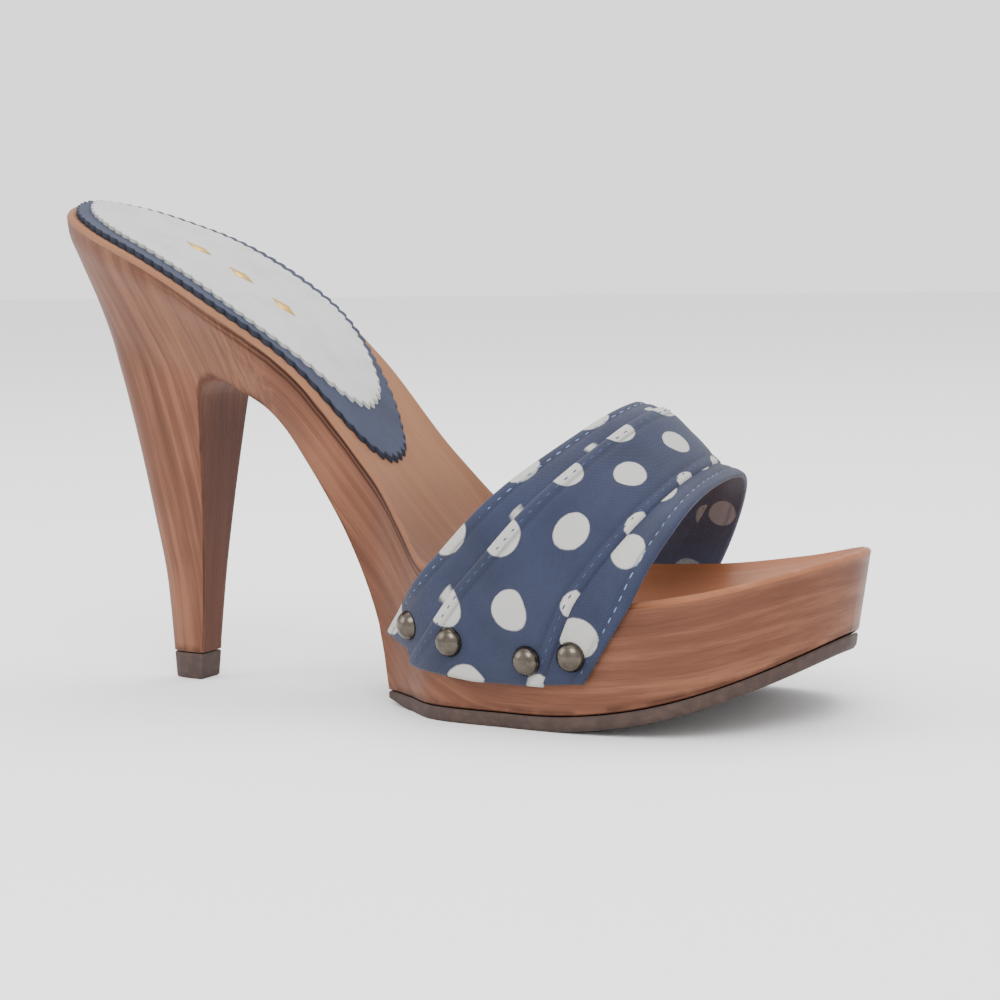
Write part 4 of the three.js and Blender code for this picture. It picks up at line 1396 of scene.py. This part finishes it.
def lozenge(length: float, width: float) -> bpy.types.Object:
    """Make one plain printed lozenge, lying flat."""
    corner = np.linspace(0, 2 * math.pi, 4, endpoint=False)
    plan = stack(length / 2 * np.cos(corner), width / 2 * np.sin(corner), 0)
    rows = [plan * 0 + (0, 0, -0.05), plan + (0, 0, -0.05), plan + (0, 0, 0.06), plan * 0 + (0, 0, 0.06)]
    return source("lozenge", np.array(rows))


def source(name: str, rows: np.ndarray) -> bpy.types.Object:
    """Make the small mesh that a scatter repeats, round the origin and in metres."""
    return add_object(name, grid_mesh(name, rows / PER_METRE, {}, 1e-7))


@dataclass
class Scatter:
    """A Geometry Nodes tree that sets one small mesh at each point, turned to the surface."""

    name: str
    piece: bpy.types.Object
    material: bpy.types.Material

    def tree(self) -> bpy.types.NodeTree:
        """Build the tree with its named inputs."""
        tree = bpy.data.node_groups.new(self.name, "GeometryNodeTree")
        inputs = {"Points": "Geometry", "Piece": "Object", "Jitter": "Float", "Finish": "Material"}
        for label, kind in inputs.items():
            tree.interface.new_socket(label, in_out="INPUT", socket_type=f"NodeSocket{kind}")
        tree.interface.new_socket("Pieces", in_out="OUTPUT", socket_type="NodeSocketGeometry")

        def node(kind: str, settings: dict, sockets: dict) -> bpy.types.Node:
            """Add a node, its settings first and then its sockets."""
            made = tree.nodes.new(kind)
            for key, value in settings.items():
                setattr(made, key, value)
            for key, value in sockets.items():
                if isinstance(value, bpy.types.NodeSocket):
                    tree.links.new(value, made.inputs[key])
                else:
                    made.inputs[key].default_value = value
            return made

        start = node("NodeGroupInput", {}, {}).outputs
        named = {"data_type": "FLOAT_VECTOR"}
        along, out = (
            node("GeometryNodeInputNamedAttribute", named, {"Name": name}).outputs["Attribute"]
            for name in ("along", "out")
        )
        up = node("FunctionNodeAlignRotationToVector", {"axis": "Z"}, {"Vector": out}).outputs[0]
        turned = node(
            "FunctionNodeAlignRotationToVector",
            {"axis": "X", "pivot_axis": "Z"},
            {"Rotation": up, "Vector": along},
        ).outputs[0]
        limits = {"Min": -1.0, "Max": 1.0, "Seed": 7}
        chance = node("FunctionNodeRandomValue", {"data_type": "FLOAT"}, limits).outputs["Value"]
        change = node("ShaderNodeMath", {"operation": "MULTIPLY"}, {0: chance, 1: start["Jitter"]})
        size = node("ShaderNodeMath", {"operation": "ADD"}, {0: change.outputs[0], 1: 1.0})
        piece = node("GeometryNodeObjectInfo", {}, {"Object": start["Piece"]})
        spread = node(
            "GeometryNodeInstanceOnPoints",
            {},
            {
                "Points": start["Points"],
                "Instance": piece.outputs["Geometry"],
                "Rotation": turned,
                "Scale": size.outputs[0],
            },
        )
        real = node("GeometryNodeRealizeInstances", {}, {"Geometry": spread.outputs[0]})
        dressed = node(
            "GeometryNodeSetMaterial", {}, {"Geometry": real.outputs[0], "Material": start["Finish"]}
        )
        node("NodeGroupOutput", {}, {"Pieces": dressed.outputs[0]})
        return tree

    def build(
        self, points: np.ndarray, along: np.ndarray, out: np.ndarray, jitter: float
    ) -> bpy.types.Object:
        """Repeat the mesh and keep the result as a plain one.

        Args:
            points: Where each one lies, in millimetres.
            along: The direction that its X takes.
            out: The direction that its Z takes.
            jitter: Share by which its size varies.

        Returns:
            One object with all of them.
        """
        carrier_mesh = bpy.data.meshes.new(f"{self.name}_points")
        carrier_mesh.from_pydata(to_frame(points).tolist(), [], [])
        for name, values in (("along", along), ("out", out)):
            layer = carrier_mesh.attributes.new(name, "FLOAT_VECTOR", "POINT")
            layer.data.foreach_set("vector", unit(values).astype(np.float32).reshape(-1))
        carrier = add_object(f"{self.name}_carrier", carrier_mesh)
        modifier = carrier.modifiers.new(self.name, "NODES")
        modifier.node_group = self.tree()
        wanted = {"Piece": self.piece, "Jitter": jitter, "Finish": self.material}
        for item in modifier.node_group.interface.items_tree:
            if item.in_out == "INPUT" and item.name in wanted:
                modifier[item.identifier] = wanted[item.name]
        carrier.update_tag()
        graph = bpy.context.evaluated_depsgraph_get()
        mesh = bpy.data.meshes.new_from_object(carrier.evaluated_get(graph))
        carrier.modifiers.remove(modifier)
        for old in (carrier, self.piece):
            bpy.data.objects.remove(old)
        mesh.name = self.name
        mesh.shade_smooth()
        return add_object(self.name, mesh)


@dataclass(frozen=True)
class BrassFinish:
    """Colours of the antique brass."""

    brass: str = "5c554d"
    dark: str = "2c2724"

    def material(self) -> bpy.types.Material:
        """Antique brass: bright on the dome, dark where it has aged."""
        shader = Shader("antique_brass", {"Metallic": 1.0})
        where = shader.where()
        cloud = shader.noise(where, 0.5, 4.0)
        fleck = shader.noise(where, 2.5, 3.0)
        base = shader.mix(self.brass, self.dark, (cloud + fleck * 0.3).step(0.5, 1.0) * 0.6)
        normal = shader.bump(fleck, 0.08, 0.0002)
        return shader.paint(Base_Color=base, Roughness=fleck * 0.15 + 0.16, Normal=normal)


@dataclass
class Nails:
    """Domed upholstery nails along both feet of the strap."""

    radius: float = 3.7
    height: float = 2.7
    stand: float = 0.5
    finish: BrassFinish = BrassFinish()

    def build(self, strap: Strap) -> None:
        """Set the nails and let them stand for their CAD nodes."""
        points, out = [], []
        for side in Side:
            for across, up, panel in zip(*NAILS.values.values()):
                foot, ahead, above = (
                    FORM.on_wall(np.array([a]), np.array([u]), side)[0]
                    for a, u in ((across, up), (across + 0.05, up), (across, up + 0.05))
                )
                normal = unit(np.cross(ahead - foot, above - foot))
                normal = normal * np.sign(normal[1] * side.value)
                thick = strap.panel_thickness if panel else strap.strip_thickness
                points.append(foot + normal * (thick + self.stand))
                out.append(normal)
        along = np.broadcast_to([1.0, 0.0, 0.1], (len(points), 3))
        heads = Scatter("nail_heads", dome(self.radius, self.height), self.finish.material())
        piece = heads.build(np.array(points), along, np.array(out), 0.0)
        names = [f"nail_{side.name.lower()}_{i}" for side in Side for i in range(1, 5)]
        place(piece, "nail", *names)


@dataclass(frozen=True)
class GiltFinish:
    """Colours of the worn gilt."""

    bright: str = "d9b45c"
    worn: str = "b98f3e"

    def material(self) -> bpy.types.Material:
        """Gilt foil, duller where it has worn."""
        shader = Shader("gilt", {"Metallic": 1.0})
        wear = shader.noise(shader.where(), 0.8, 3.0)
        base = shader.mix(self.bright, self.worn, wear)
        return shader.paint(Base_Color=base, Roughness=wear * 0.2 + 0.3)


@dataclass
class Mark:
    """Three plain gilt lozenges on the sock, in the place of the lettering that is left out."""

    count: int = 3
    gap: float = 13
    start: float = 36
    length: float = 8.5
    width: float = 5
    finish: GiltFinish = GiltFinish()

    def build(self, lift: float) -> None:
        """Lay the lozenges on the sock."""
        x = self.start + self.gap * np.arange(self.count)
        y = np.zeros(self.count)
        step = 0.5
        rise = (LAST.footbed(x + step, y) - LAST.footbed(x - step, y)) / (2 * step)
        along = stack(1 + 0 * x, 0, rise)
        out = stack(-rise, 0, 1 + 0 * x)
        points = stack(x, y, LAST.footbed(x, y) + lift)
        row = Scatter("gilt_lozenges", lozenge(self.length, self.width), self.finish.material())
        place(row.build(points, along, out, 0.0), "heel_sock")


@dataclass
class Studio:
    """Pale floor, soft light and the photograph's camera."""

    focal: float = 2716.38
    sensor: float = 36
    image: float = 1000
    eye: tuple = (443.269, -608.251, 123.392)
    right: tuple = (0.886788, 0.461546, -0.024148)
    up: tuple = (-0.027256, 0.104384, 0.994164)
    forward: tuple = (-0.461373, 0.880954, -0.105146)

    def floor(self) -> None:
        """Lay the floor."""
        bpy.ops.mesh.primitive_plane_add(size=6, location=(0, 0, 0))
        plane = bpy.context.active_object
        plane.name = "studio_floor"
        shader = Shader("studio_floor", {"Base Color": (0.88, 0.88, 0.88, 1), "Roughness": 0.9})
        plane.data.materials.append(shader.material)

    def lamp(self, name: str, place_at: tuple, size: float, power: float) -> None:
        """Hang a soft lamp that faces the shoe."""
        data = bpy.data.lights.new(name, "AREA")
        data.shape = "DISK"
        data.size = size
        data.energy = power
        lamp = add_object(name, data)
        lamp.location = place_at
        lamp.rotation_euler = (Vector((0, 0, 0.05)) - Vector(place_at)).to_track_quat("-Z", "Y").to_euler()

    def camera(self) -> None:
        """Set the camera as the photograph's."""
        data = bpy.data.cameras.new("photo_camera")
        data.sensor_width = self.sensor
        data.lens = self.focal / self.image * self.sensor
        camera = add_object("photo_camera", data)
        turn = Matrix([self.right, self.up, [-c for c in self.forward]]).transposed()
        camera.matrix_world = Matrix.Translation(Vector(to_frame(self.eye))) @ turn.to_4x4()
        bpy.context.scene.camera = camera

    def build(self) -> None:
        """Set up the studio."""
        self.floor()
        self.lamp("key", (0.5, -0.9, 1.1), 0.9, 14)
        self.lamp("left", (-1.0, -0.6, 0.6), 0.8, 6)
        self.lamp("top", (0.0, 0.4, 1.3), 1.2, 12)
        world = bpy.data.worlds.new("studio")
        world.use_nodes = True
        background = world.node_tree.nodes["Background"]
        background.inputs["Color"].default_value = (1, 1, 1, 1)
        background.inputs["Strength"].default_value = 1.7
        bpy.context.scene.world = world
        self.camera()


def main() -> None:
    """Build every piece in order."""
    logging.basicConfig(level=logging.INFO, format="%(name)s %(message)s")
    Wood().build()
    rubber = Rubber()
    dull = rubber.finish.material()
    rubber.outsole(dull)
    rubber.tip(dull)
    pad = Lining(
        "heel_pad_sheet", "heel_pad", PAD, start=2.2, end=99, lift=0.3, thickness=1.4,
        finish=SheetFinish("heel_pad", "2b3247", "10131d", 0.67), lean=-9,
    )
    pad.build()
    sock = Lining(
        "sock_sheet", "heel_sock", SOCK, start=3.8, end=89.5, lift=2.0, thickness=0.8,
        finish=SheetFinish("heel_sock", "b2b3b2", "8e8d8a", 0.42), lean=-3,
    )
    sock.build()
    Mark().build(sock.lift + sock.thickness)
    strap = Strap()
    strap.build()
    Nails().build(strap)
    Studio().build()


if __name__ == "__main__":
    main()
